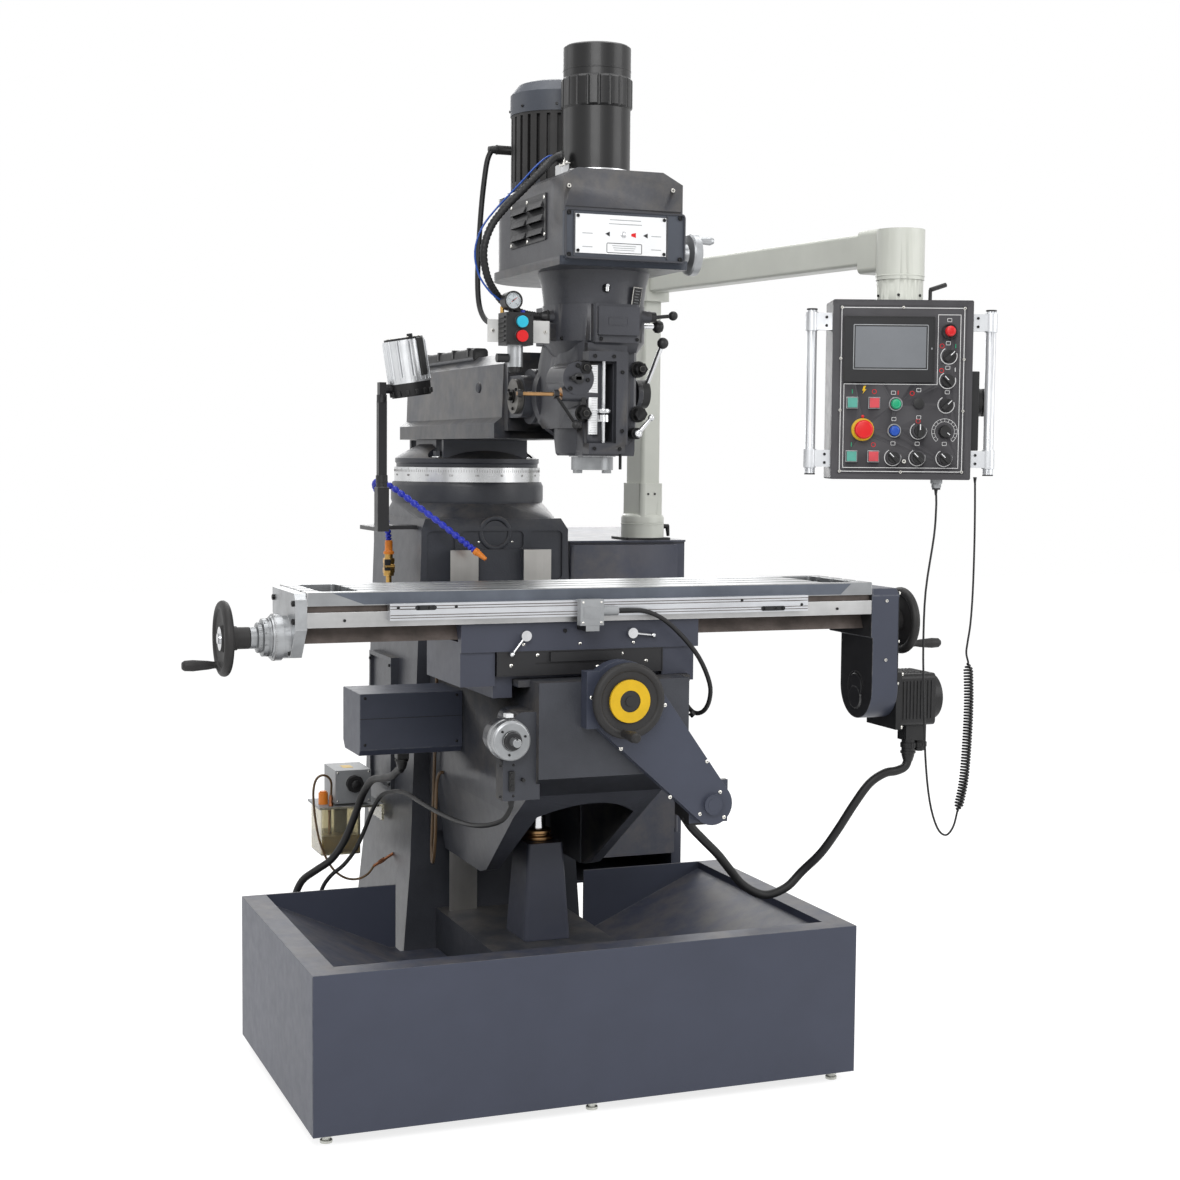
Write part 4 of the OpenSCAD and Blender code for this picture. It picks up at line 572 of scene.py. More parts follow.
routes = {
    "motor": [[-124.4, -202, 2080], [-130, -202, 2080], [-138, -202, 2078], [-148, -201, 2056], [-155, -200, 2010],
              [-161, -199, 1950], [-166, -198, 1870], [-169, -200, 1790], [-170, -216, 1736], [-170, -256, 1704],
              [-168, -312, 1690], [-158, -362, 1687], [-140, -392, 1687], [-124, -400, 1687], [-113, -400, 1687]],
    "conduit": [[-84.4, -500, 2024], [-92, -503, 2023], [-110, -512, 2016], [-142, -530, 1987], [-180, -540, 1950],
                [-224, -540, 1906], [-252, -540, 1868], [-266, -538, 1822], [-256, -526, 1776], [-234, -510, 1744],
                [-206, -500, 1718], [-170, -498, 1702], [-140, -498, 1697], [-124, -498, 1696], [-112.4, -498, 1696]],
    "left": [[-290, -20, 703.4], [-290, -20, 698], [-290, -20, 690], [-290, -12, 678], [-290, 10, 672], [-292, 60, 650],
             [-296, 130, 634], [-302, 200, 618], [-312, 245, 580], [-330, 262, 520], [-354, 268, 460], [-386, 270, 415],
             [-424, 278, 388], [-454, 292, 362], [-470, 302, 320], [-474, 304, 270], [-474, 304, 230], [-474, 304, 204]],
    "oil": [[-178, 72, 929.6], [-178, 72, 920], [-178, 73, 860], [-178, 82, 740], [-178, 96, 600], [-179, 104, 500],
            [-181, 100, 452], [-184, 84, 432], [-186, 66, 448], [-186, 54, 500], [-186, 50, 580], [-184, 50, 630],
            [-177, 50, 652], [-168.5, 50, 654]],
    "dial": [[-212, -570, 701.6], [-212, -570, 696], [-212, -569, 682], [-226, -556, 654], [-246, -500, 634], [-256, -400, 620],
             [-260, -250, 612], [-264, -100, 612], [-268, 40, 614], [-272, 130, 600], [-280, 196, 580], [-292, 232, 540],
             [-308, 246, 490], [-330, 252, 440], [-358, 258, 402], [-388, 266, 376], [-408, 274, 344], [-416, 276, 300],
             [-416, 276, 250], [-416, 276, 214]],
    "right": [[224, -438, 935.6], [224, -438, 926], [224, -438, 900], [223, -438, 840], [221, -438, 760], [222, -438, 690],
              [230, -440, 632], [252, -444, 592], [284, -446, 558], [322, -440, 522], [362, -422, 480], [404, -406, 438],
              [460, -400, 410], [512, -406, 424], [550, -413, 461], [580, -446, 508], [606, -476, 566], [634, -498, 626],
              [666, -510, 674], [702, -514, 696], [732, -514, 700], [754, -514, 708], [762, -514, 724], [762, -514, 736],
              [762, -514, 743.4]],
    "pendant": [[728, -664, 1340], [728, -666, 1322], [727, -668, 1300], [722, -670, 1240], [704, -670, 1120],
                [701, -670, 1000], [705, -670, 900], [712, -670, 760], [724, -672, 660], [742, -676, 600], [762, -680, 582],
                [778, -684, 600], [786, -686, 632]],
    "reader": [[14.4, -588, 1087], [24, -588, 1087], [44, -589, 1087], [78, -592, 1084], [118, -592, 1066], [161, -590, 1030],
               [204, -584, 982], [234, -574, 926], [240, -562, 888], [234, -546, 862], [221, -528, 856], [210, -510, 872],
               [205, -501, 898], [204, -500, 918], [204, -500, 929.6]],
    "air": [[-86, -491, 2024], [-110, -496, 2026], [-142, -512, 2004], [-184, -524, 1962], [-232, -526, 1912],
            [-266, -526, 1868], [-281, -526, 1820], [-272, -524, 1774], [-248, -520, 1742], [-228, -516, 1728],
            [-218, -515, 1722], [-218, -515, 1712]],
    "lube": [[-356, 399, 548], [-356, 396, 562], [-358, 388, 584], [-368, 382, 600], [-384, 380, 605], [-398, 382, 594],
             [-404, 385, 566], [-402, 388, 524], [-396, 390, 480], [-388, 390, 440], [-374, 389, 400], [-352, 386, 362],
             [-322, 380, 340], [-292, 372, 338], [-270, 360, 352], [-256, 350, 376]],
    "curly": [[786, -686, 632], [800, -687, 700], [806, -688, 790], [808, -688, 880], [804, -688, 966]],
    "thin": [[804, -688, 966], [799, -688, 985], [802, -688, 1010], [808, -688, 1050], [812, -688, 1120], [812, -690, 1220],
             [810, -692, 1300], [807, -694, 1368]],
    "coolant": [[-236, 292, 1196], [-240, 290, 1225], [-250, 286, 1270], [-264, 276, 1305], [-282, 250, 1330],
                [-284, 225, 1341], [-274, 200, 1340], [-240, 170, 1314], [-196, 138, 1276], [-150, 104, 1236],
                [-110, 76, 1200], [-88, 60, 1180]],
}

layCord("motorCable", "head_cables", routes["motor"], 12, "cableBlack")
layCord("drawbarConduit", "head_cables", routes["conduit"], 16, "cableBlack", steps=16,
        ribs=lambda i: 1.0 if i % 3 else 0.86)


def lubeFittings():
    # copper elbow on the pump's plate, and the clip where the tube reaches the column
    piece = Piece("lubeFittings", "base")
    piece.rod((-356, 399, 522), (-356, 399, 550), 4.4, "copper", bevel=0.8, sides=24)
    piece.rod((-356, 399, 522), (-356, 399, 531), 6.6, "copper", sides=6, bevel=0.6)
    piece.rod((-356, 399, 537), (-356, 399, 546), 6, "copper", sides=6, bevel=0.6)
    piece.rod((-258, 352, 372), (-214, 322, 408), 3.8, "copper", bevel=0.8, sides=24)
    piece.rod((-246, 344, 382), (-234, 336, 392), 5.6, "copper", sides=6, bevel=0.6)
    return piece.done("pump")


# profile, ring and pin circle as shares of the connector's radius and length
connector = {
    "profile": [(0, 0), (1, 0), (1, 0.34), (0.92, 0.36), (0.92, 0.46), (1.1, 0.48), (1.1, 0.74), (0.95, 0.76), (0.72, 1),
                (0, 1)],
    "ribs": 18, "ribReach": (1.06, 1.16), "ribHeight": (0.5, 0.72), "ribHalf": 0.8,
    "face": 0.8, "faceHalf": 0.4, "pins": 6, "pinCircle": 0.42, "pinRadius": 1.2, "pinLength": 1.6,
}


def plugPiece(name, at, low, high, radius):
    # a round metal connector with a knurled ring, hanging at a cable's end
    piece = Piece(name, "base")
    deep, foot, half = high - low, (at[0], at[1], low), connector["ribHalf"]
    piece.turned([(radius * r, deep * z) for r, z in connector["profile"]], "ringSteel", at=foot, sides=36)
    for k in range(connector["ribs"]):
        where = Matrix.Translation(foot) @ Matrix.Rotation(k * math.tau / connector["ribs"], 4, "Z")
        piece.slab([radius * r for r in connector["ribReach"]], (-half, half), [deep * z for z in connector["ribHeight"]],
                   "ringSteel", 0.3, place=where)
    face, thin = radius * connector["face"], connector["faceHalf"]
    piece.turned([(0, -thin), (face, -thin), (face, thin), (0, thin)], "blackPlastic", at=foot, sides=24)
    for k in range(connector["pins"]):
        turn, reach = k * math.tau / connector["pins"], radius * connector["pinCircle"]
        x, y = at[0] + reach * math.cos(turn), at[1] + reach * math.sin(turn)
        piece.rod((x, y, low - connector["pinLength"]), (x, y, low), connector["pinRadius"], "brass", sides=8, bevel=0)
    return piece.done("cable_rubber")


layCord("zMotorCable", "left_cables", routes["left"], 18, "cableBlack",
        across=("knee_body", "base", (-0.294, 0.1, 0.64), (-0.45, 0.29, 0.37)),
        ends=[plugPiece("zMotorConnector", (-474, 304), 150, 205, 15)])
layCord("dialCable", "left_cables", routes["dial"], 10, "cableBlack",
        across=("knee_body", "base", (-0.264, -0.1, 0.612), (-0.4, 0.27, 0.36)),
        ends=[plugPiece("dialConnector", (-416, 276), 170, 215, 11)])
layCord("oilTubeLoop", "left_cables", routes["oil"], 8, "oilTube")
layCord("xServoCable", "right_cable", routes["right"], 20, "cableBlack", steps=6,
        across=("saddle_body", "table_body", (0.27, -0.45, 0.5), (0.74, -0.45, 0.5)))
layCord("readerCable", "reader_cable", routes["reader"], 10, "cableBlack", sides=12)
layCord("airTube", None, routes["air"], 4, "airTube", body="head", sides=10)
layCord("lubeTube", None, routes["lube"], 6, "oilTube", body="base", sides=12, ends=[lubeFittings()])


def curlyPath():
    # the thin lead, the curled part as a helix round its route, and the thin lead again
    coil = {"across": 8.6, "turns": 50, "steps": 14}
    first, middle, last = smoothRoute(routes["pendant"], 4), smoothRoute(routes["curly"], 40), smoothRoute(routes["thin"], 4)
    total = routeLength(middle)
    path, walked, upright = list(first[:-1]), 0.0, Vector((0, 1, 0.1)).normalized()
    count = coil["turns"] * coil["steps"]
    marks = [0.0]
    for a, b in zip(middle, middle[1:]):
        marks.append(marks[-1] + (b - a).length)
    for k in range(count + 1):
        walked = total * k / count
        i = max(j for j in range(len(marks)) if marks[j] <= walked + 1e-9)
        j = min(i + 1, len(middle) - 1)
        share = 0 if i == j else (walked - marks[i]) / (marks[j] - marks[i])
        spot = middle[i].lerp(middle[j], share)
        along = (middle[min(i + 1, len(middle) - 1)] - middle[max(i - 1, 0)]).normalized()
        upright = (upright - along * upright.dot(along)).normalized()
        side = along.cross(upright)
        swell = min(1, k / (3 * coil["steps"]), (count - k) / (3 * coil["steps"]))
        reach = 0.001 * coil["across"] * swell * swell * (3 - 2 * swell)
        turn = math.tau * k / coil["steps"]
        path.append(spot + reach * (upright * math.cos(turn) + side * math.sin(turn)))
    return path + list(last[1:])


layCord("pendantCurlyCord", "pendant_cord", None, 4.6, "cableBlack", path=curlyPath(), sides=8)


coolantParts = {
    "valve": (-236, 292), "collar": 1162, "lever": 1132, "stem": (1070, 1108), "grip": (1122, 1150),
    # brass fittings: low, high, radius, sides, bevel
    "fittings": [(1108, 1146, 13, 32, 2), (1116, 1128, 15.5, 6, 1), (1140, 1152, 15, 6, 1), (1150, 1166, 10, 32, 1)],
}


def coolantEnds():
    # the orange nozzle, and the brass valve that the hose stands on
    nozzle = Piece("coolantNozzle", "base")
    nozzle.turned([(0, -1), (8.6, -1), (9.2, 3), (9.2, 7), (7.6, 9), (6.4, 20), (4.6, 33), (3.1, 34), (2.8, 30), (0, 30)],
                  "nozzleOrange", at=(-88, 60, 1180), direction=(0.6545, -0.4755, -0.588), sides=28)
    nozzle = nozzle.done()
    valve = Piece("coolantValve", "base")
    x, y = coolantParts["valve"]
    for low, high, radius, sides, bevel in coolantParts["fittings"]:
        valve.rod((x, y, low), (x, y, high), radius, "brass", sides=sides, bevel=bevel)
    valve.turned([(0, 0), (13, 0), (13, 6), (9.5, 9), (9.5, 30), (8.4, 34), (0, 34)], "nozzleOrange",
                 at=(x, y, coolantParts["collar"]), sides=28)
    lever, stem = coolantParts["lever"], coolantParts["stem"]
    valve.rod((x - 14, y - 16, lever), (x + 10, y - 16, lever), 6, "brass", bevel=1)
    valve.slab((x - 16, x), (y - 21, y - 16), coolantParts["grip"], "blackPlastic", 2)
    valve.rod((x, y, stem[0]), (x, y, stem[1]), 7, "brass", bevel=0.5)
    valve.done()
    return nozzle


layCord("coolantLinkHose", "coolant_hose", routes["coolant"], 16, "hoseBlue",
        steps=16, sides=14, ribs=lambda i: (0.56, 0.86, 1.0, 1.0, 0.86)[i % 5], ends=[coolantEnds()])
relief("headGlands", "head", [((-124, -202, 2080), (-1, 0, 0), 6, 22), ((-112, -400, 1687), (-1, 0, 0), 6, 20),
                              ((-84, -500, 2024), (-1, 0, 0), 8, 14), ((-112, -498, 1696), (-1, 0, 0), 8, 16)])
relief("kneeGlands", "knee_body", [((-290, -20, 704), (0, 0, -1), 9, 24), ((-212, -570, 702), (0, 0, -1), 5, 18)])
relief("saddleGlands", "saddle_body", [((224, -438, 936), (0, 0, -1), 10, 26), ((14, -588, 1087), (1, 0, 0), 3, 16),
                                       ((204, -500, 930), (0, 0, -1), 3, 14)])
relief("servoGland", "table_body", [((762, -514, 745), (0, 0, -1), 10, 24)])
relief("pendantGlands", "pendant", [((728, -664, 1341), (0, 0, -1), 2.3, 12), ((807, -694, 1369), (0, 0, -1), 2.3, 12)])
print("cords laid")

# finishes on the frame's own shapes
def within(x=None, y=None, z=None):
    # a test on a face's middle, each range in millimetres
    def test(c, n):
        return all(r is None or r[0] <= v <= r[1] for r, v in zip((x, y, z), c))
    return test


dress("coolant_tray", "trayPaint", 2.5)
dress("levelling_feet", "footZinc", 0.8)
dress("column", "castPaint", 7, regions=[
    ("groundSteel", lambda c, n: 290 < c.z < 1190 and 124 < c.y < 168 and 56 < abs(c.x) < 131
     and (n.y < -0.3 or n.z > 0.5))], segments=3)
dress("elevating_pedestal", "greyPaint", 3, regions=[("bronze", lambda c, n: c.z > 522.1)])
dress("electrical_cabinet", "greyPaint", 2)
dress("cabinet_door", "greyPaint", 1.5)
dress("post_base", "postPaint", 1.2, regions=[("markBlack", lambda c, n: c.z < 1196.5),
                                              ("blackPlastic", lambda c, n: c.x > 521)])
dress("lamp_bracket", "blackSteelAndShade", 1)
dress("lamp_arm", "blackSteelAndShade", 1)
lampPlace = Matrix.Translation((-234, 100, 1550)) @ Matrix.Rotation(math.radians(-9), 4, "Y")
dress("work_light", "lampAlloy", 0.8, regions=[
    ("blackPlastic", lambda c, n: not 25.9 < (lampPlace.inverted() @ c).z < 126.2
     or math.hypot(c.y - 100, c.z - 1560) < 12 and c.x < -268)])
dress("knee", "castPaint", 5, segments=3)
dress("y_drive", "navyPaint", 1.5, regions=[("blackPlastic", lambda c, n: c.y > -614.9)])
dress("z_drive_cover", "navyPaint", 2, regions=[("blackPlastic", within(z=(700, 725.5)))])
dress("z_dial", "dialGrey", 0.8, regions=[
    ("blackSteelAndShade", lambda c, n: c.y < -633.6 and math.hypot(c.x + 232, c.z - 831) < 18.5
     and (c.y > -645 or math.hypot(c.x + 232, c.z - 831) > 9.3))])
dress("elevating_screw", "brightSteel", 0.6)
dress("y_handwheel", "wheelBlackAndShade", 0.6, extra=lambda piece: piece.turned(
    [(22.5, -5.5), (22.5, 0.5), (43.6, 0.5), (44.4, -0.3), (44.4, -8.4), (42, -8.4), (42, -5.5), (22.5, -5.5)], "yellow",
    at=(4, -687, 909), direction=(0, -1, 0), sides=96), regions=[
    ("brightSteel", lambda c, n: math.hypot(c.x - 4, c.z - 909) < 17 and c.y > -652.5)])
dress("saddle", "greyPaint", 3)
dress("saddle_wipers", "blackSteelAndShade", 1.2, regions=[("pumpGrey", within(y=(-600, -577), z=(1050, 1115)))])
dress("lock_lever_left", "brightSteel", 0.8)
dress("lock_lever_right", "brightSteel", 0.8)
dress("table", "tableSide", 1.2, regions=[
    ("oldIronAndShade", lambda c, n: 1093.5 < c.z < 1106.5 and -558.9 < c.y < -545),
    ("tableTop", lambda c, n: c.z > 1100 and abs(c.x) < 634),
    ("oldIronAndShade", lambda c, n: c.z < 1062.5)])
dress("table_rail", "railAlloy", 0.5)
dress("left_end_bracket", "castAlloy", 3, segments=3)
# the cover's inner left side (faces turned to the left, and the low faces left of x 638.5) is painted black: painted
# shade
dress("x_belt_cover", "navyPaint", 3, regions=[
    ("blackSteelAndShade", lambda c, n: n.x < -0.9 and c.x < 640 or c.x < 638.5 and c.z < 1000)])
dress("x_servo", "blackPlastic", 2.5)
dress("x_screw", "wheelBlackAndShade", 0.8, regions=[
    ("dialGrey", lambda c, n: -737 < c.x < -694.2 and math.hypot(c.y + 480, c.z - 1040) > 13),
    ("brightSteel", lambda c, n: math.hypot(c.y + 480, c.z - 1040) < 14.5)])
dress("turret", "castPaint", 2.5, regions=[
    ("ringSteel", lambda c, n: c.z < 1376.5 and abs(n.z) < 0.5 and math.hypot(c.x, c.y - 401) > 180)])
dress("ram", "castPaint", 6, regions=[("cableBlack", lambda c, n: c.z > 1637.6)], segments=3)
dress("ram_adapter", "headPaint", 2, regions=[("adapterSteel", lambda c, n: abs(c.x) > 106.3)])
dress("head_casting", "headPaint", 3.5, segments=3, regions=[
    ("boltBlack", lambda c, n: c.y < -566.5 and 49 < abs(c.x) < 76 and (1482 < c.z < 1508 or 1575 < c.z < 1601)),
    ("bronze", lambda c, n: c.x < -111.5 and c.z < 1540 and c.y < -569),
    ("plateWhite", within(x=(-54.6, -34.4), y=(-588.2, -584.05), z=(1450, 1596))),
    ("brightSteel", lambda c, n: math.hypot(c.x + 24, c.y + 594) < (12.6 if 1477 < c.z < 1493 else 5)
     and 1434.5 < c.z < 1601.5)])
dress("belt_housing", "headPaint", 5, segments=3, regions=[
    ("blackSteelAndShade", lambda c, n: c.x < -130.2 and 1845 < c.z < 1950),
    ("motorPaint", lambda c, n: -648.8 < c.y < -636.2 and 1800 < c.z < 1904),
    ("plateWhite", lambda c, n: c.y < -648.8)])
# the motor's finned body is painted near black: painted shade among the fins
dress("spindle_motor", "motorPaint", 1, regions=[("wheelBlackAndShade", within(z=(1997, 2149.5)))])
dress("drawbar_unit", "gloss", 0.8, regions=[("ringSteel", lambda c, n: c.z < 2000.9)])


def easeQuill(piece):
    # a quarter of a millimetre off the outside, so that it runs clear in the bore
    outside = [v for v in piece.whole.verts if math.hypot(v.co.x, v.co.y + 472) > 40]
    bmesh.ops.scale(piece.whole, vec=(0.995, 0.995, 1), space=Matrix.Translation((0, 472, 0)), verts=outside)


dress("quill", "quillSteel", 0.8, extra=easeQuill)
dress("spindle", "dialGrey", 0.8)
dress("feed_lever", "blackPlastic", 1, regions=[
    ("brightSteel", lambda c, n: (c - Vector((108, -490, 1540))).length > 31 and c.z < 1632)])
dress("speed_wheel", "castAlloy", 0.8)
dress("gear_lever", "blackPlastic", 0.8)
dress("quill_lock", "brightSteel", 0.6, regions=[("boltBlack", lambda c, n: c.y > -597)])
dress("drawbar_box", "blackPlastic", 1.2, regions=[
    ("bracketWhite", lambda c, n: -508.1 < c.y < -502 and 1639 < c.z < 1687 and not -225 < c.x < -165),
    ("plateWhite", lambda c, n: c.y < -547.9 and math.hypot(c.x + 206, c.z - 1722) < 16.5),
    ("castAlloy", lambda c, n: math.hypot(c.x + 196, c.y + 534) < 16.5 and c.z < 1632.5)])
dress("open_button", "cyan", 0.6)
dress("close_button", "red", 0.6)
dress("pendant_arm", "postPaint", 3, segments=3)
pendantPlace = Matrix.Translation((644.8, -634.88, 0)) @ Matrix.Rotation(math.radians(-21), 4, "Z")
inPendant = pendantPlace.inverted()


def onPanel(u, v, out=0.0):
    # a place on the control panel, measured from its middle
    return pendantPlace @ Matrix.Translation((u, -54 - out, 1554 + v)) @ Matrix.Rotation(math.pi / 2, 4, "X")


def pointer(u, v, turn, high, near=1.0, far=12.4):
    # the white line on a knob
    return lambda piece: piece.slab((-0.8, 0.8), (near, far), (high, high + 0.35), "plateWhite", 0,
                                    place=onPanel(u, v) @ Matrix.Rotation(math.radians(turn), 4, "Z"))


dress("pendant_box", "pendantPaint", 1.5, regions=[
    ("handleAlloy", lambda c, n: abs((inPendant @ c).x) > 150.3),
    ("blackPlastic", lambda c, n: c.z > 1745.2 and (inPendant @ c).xy.length > 56),
    ("postPaint", lambda c, n: c.z > 1745.2)])
dress("mpg_unit", "blackPlastic", 3)
dress("estop", "red", 1)
dress("override_knob", "blackPlastic", 0.8, extra=pointer(93, -88, -130, 17.5, 4, 11))
dress("power_button", "red", 1)
dress("start_button", "green", 0.8)
dress("reset_button", "blue", 0.8)
for selector, u, v, turn in (("selector_top", 99, 73, -45), ("selector_middle", 97, 21, 45), ("selector_low", 95, -31, -45)):
    dress(selector, "blackPlastic", 0.8, extra=pointer(u, v, turn, 18.5))
dress("lube_unit", "pumpGrey", 1.5, regions=[
    ("clearPlastic", within(z=(397, 515.9))), ("blackPlastic", lambda c, n: c.y < 391.5 and 550 < c.z < 610),
    ("nozzleOrange", lambda c, n: math.hypot(c.x + 368, c.y - 432) < 12.5 and c.z > 522.5)])
print("frame shapes dressed")


# screws, plates, scales and marks
ahead, leftward, rightward, upward, downward = (0, -1, 0), (-1, 0, 0), (1, 0, 0), (0, 0, 1), (0, 0, -1)


def facing(normal, at=(0, 0, 0)):
    # a place on an upright face: local X to the right, Y up and Z out of it
    normal = Vector(normal).normalized()
    right = Vector((0, 0, 1)).cross(normal).normalized()
    place = Matrix((right, normal.cross(right), normal)).transposed().to_4x4()
    place.translation = Vector(at)
    return place


def turnedBy(place, degrees):
    return place @ Matrix.Rotation(math.radians(degrees), 4, "Z")


def around(count, first=0.0):
    # even angles round a circle, the first one so many steps on
    return [(k + first) * math.tau / count for k in range(count)]


def screws(piece, places, direction, radius, look="screwZinc", kind="cap", place=None):
    for at in places:
        piece.screw(at, direction, radius, look, kind, place)


def knurl(piece, at, direction, count, near, far, half, low, high, look, bevel=0.3, first=0.0, place=None):
    # ribs round a knob, ring or cap
    base = toward(direction, at) if place is None else place
    for turn in around(count, first):
        piece.slab((near, far), (-half, half), (low, high), look, bevel, place=base @ Matrix.Rotation(turn, 4, "Z"))


def figures(piece, words, size, look, place):
    # raised figures of a scale
    curve = bpy.data.curves.new("figures", "FONT")
    curve.body, curve.size, curve.align_x, curve.align_y = words, size, "CENTER", "CENTER"
    curve.extrude, curve.resolution_u = 0.12, 2
    holder = bpy.data.objects.new("figures", curve)
    mesh = bpy.data.meshes.new_from_object(holder)
    shape = bmesh.new()
    shape.from_mesh(mesh)
    bpy.data.objects.remove(holder)
    bpy.data.meshes.remove(mesh)
    bpy.data.curves.remove(curve)
    piece.add(shape, look, place)


def ringScale(piece, at, direction, radius, low, tall, count, look="markBlack", words=(), size=6, wide=0.5, above=0.0):
    # lines round a dial's rim, with figures at even steps
    base = toward(direction, at)
    for k, turn in enumerate(around(count)):
        share = 1 if k % 10 == 0 else 0.75 if k % 5 == 0 else 0.5
        where = base @ Matrix.Rotation(turn, 4, "Z") @ Matrix.Translation((radius, 0, 0))
        piece.slab((-0.3, 0.12), (-wide / 2, wide / 2), (low, low + tall * share), look, 0, place=where)
    for word, turn in zip(words, around(max(1, len(words)))):
        side = (math.cos(turn), math.sin(turn), 0)
        figures(piece, word, size, look, base @ facing(side, (radius * side[0], radius * side[1], above)))


def frameLine(piece, u, v, wide, look, place, corner=4.0, high=0.35):
    # a printed line or raised lip round a rectangle with rounded corners
    def loop(grow):
        points = []
        for cx, cy, start in ((u[1], v[1], 0), (u[0], v[1], 90), (u[0], v[0], 180), (u[1], v[0], 270)):
            sx, sy = (-1 if cx == u[1] else 1), (-1 if cy == v[1] else 1)
            for step in range(5):
                turn = math.radians(start + step * 22.5)
                points.append((cx + sx * corner + (corner + grow) * math.cos(turn),
                               cy + sy * corner + (corner + grow) * math.sin(turn)))
        return points

    outer, inner = loop(wide / 2), loop(-wide / 2)
    shape = bmesh.new()
    rings = [[shape.verts.new((x, y, z)) for x, y in points]
             for points, z in ((outer, 0), (outer, high), (inner, high), (inner, 0))]
    for ring, following in zip(rings, rings[1:] + rings[:1]):
        for k in range(len(ring)):
            j = (k + 1) % len(ring)
            shape.faces.new((ring[k], ring[j], following[j], following[k]))
    piece.add(shape, look, place)


def arcLine(piece, radius, start, end, wide, look, place, high=0.35):
    # a printed arc, angles in degrees from local X
    shape = bmesh.new()
    steps = max(6, int(abs(end - start) / 10))
    rings = []
    for k in range(steps + 1):
        turn = math.radians(start + (end - start) * k / steps)
        rings.append([shape.verts.new((r * math.cos(turn), r * math.sin(turn), z)) for r, z in
                      ((radius - wide / 2, 0), (radius + wide / 2, 0), (radius + wide / 2, high), (radius - wide / 2, high))])
    for a, b in zip(rings, rings[1:]):
        for k in range(4):
            shape.faces.new((a[k], a[(k + 1) % 4], b[(k + 1) % 4], b[k]))
    shape.faces.new(rings[0])
    shape.faces.new(rings[-1])
    piece.add(shape, look, place)


# belt housing: screws, seam, speed plate in its frame, and louvres on the left side
housing = {
    "frontScrews": [(-120, -636, 1947), (107, -636, 1950)], "seam": ((-126, 126), (-636.5, -635.8), (1906.5, 1908)),
    "frame": ((-131, 129), (1804, 1900)), "frameBars": (-112.5, 90.5),
    "frameScrews": [(x, -648, z) for x in (-124, 119) for z in (1810, 1893)],
    "plateScrews": [(x, -649.4, z) for x in (-105, 83) for z in (1818.5, 1887.5)],
    "arrows": ((-41, "markBlack"), (42, "markBlack"), (16, "red")),
    # each bar: left, right, bottom, top
    "printedBars": [(-30, 22, 1830.5, 1831.7), (-28, 20, 1826.3, 1827.5), (-26, 18, 1822.1, 1823.3), (-36, 32, 1882, 1883.4),
                    (-38, 34, 1874, 1875.4)] + [(x - 11, x + 11, z, z + 1.3) for x in (-84, 66) for z in (1853, 1826)],
    "louvreColumns": (-373, -477), "louvreRows": (1870.5, 1897.5, 1924.5), "louvreHalf": 42,
    "sideScrews": [(-133, y, z) for y, z in ((-421, 1938), (-527, 1937), (-530, 1862), (-425, 1856), (-321, 1938),
                                             (-321, 1857))],
}
head = Piece("headDetail", "head")
screws(head, housing["frontScrews"], ahead, 4.5)
head.slab(*housing["seam"], "markBlack", 0)
screws(head, housing["frameScrews"], ahead, 4.6, "boltBlack")
frameLine(head, *housing["frame"], 3, "headPaint", facing(ahead, (0, -648, 0)), corner=7, high=3.4)
for x in housing["frameBars"]:
    head.slab((x - 1.5, x + 1.5), (-650.8, -648), (1808, 1896), "headPaint", 0.6)
screws(head, housing["plateScrews"], ahead, 3.4, "boltBlack")
head.ball((-5.5, -651, 1854), 4.6, "brightSteel")
head.turned([(0, 0), (6.2, 0), (6.2, 0.8), (4.8, 1.6), (0, 1.6)], "ringSteel", at=(-5.5, -649.4, 1854), direction=ahead,
            sides=28)
for x, look in housing["arrows"]:
    tip = [(x - 5, 2.4), (x - 5, -2.4)] if look == "red" else [(x - 5, 0)]
    head.cut([(x + 5, 5)] + tip + [(x + 5, -5)], 0, 0.3, look, place=facing(ahead, (0, -649.4, 1854)), bevel=0)
frameLine(head, (-42, 34), (1817, 1836), 1.2, "markBlack", facing(ahead, (0, -649.4, 0)), corner=2)
for left, right, bottom, top in housing["printedBars"]:
    head.slab((left, right), (-649.65, -649.3), (bottom, top), "dialGrey", 0)
half = housing["louvreHalf"]
for z in housing["louvreRows"]:
    for y in housing["louvreColumns"]:
        place = Matrix.Translation((-135.6, y, z)) @ Matrix.Rotation(0.42, 4, "Y")
        head.slab((-1.1, 1.1), (-half, half), (-7.2, 7), "blackSteelAndShade", 0.9, place=place)
        for side in (-half, half):
            head.cut([(-132.5, z + 6.5), (-139, z - 7), (-132.5, z - 7)], -1, 1, "blackSteelAndShade",
                     place=Matrix.Translation((0, y + side, 0)) @ Matrix.Rotation(math.pi / 2, 4, "X"), bevel=0.3)
screws(head, housing["sideScrews"], leftward, 4, "screwZinc", "pan")

# neck: pin under the housing, bare plate, and a knob lever on the right
neck = {"plate": facing((0.527, -0.85, -0.17), (57, -570.9, 1738)), "frontScrews": [(-30, -592, 1648), (50, -592, 1648)],
        "sideScrews": [(-92, -530, 1650), (-86, -420, 1650)], "lever": (-500, 1683)}
head.rod((-15, -590, 1757), (-15, -573, 1757), 3.6, "brightSteel", sides=16)
head.slab((-18.4, -11.6), (-588, -575), (1745, 1756), "ringSteel", 1.5)
head.slab((-15, 15), (-19.5, 19.5), (-0.8, 1.0), "screwZinc", 0.4, place=neck["plate"])
head.slab((-13.2, 13.2), (-17.6, 17.6), (0.9, 1.35), "markBlack", 0.2, place=neck["plate"])
for k in range(5):
    head.slab((-9 + (k % 2) * 2, 8 - (k % 3) * 2), (11 - 6 * k, 12 - 6 * k), (1.3, 1.5), "dialGrey", 0, place=neck["plate"])
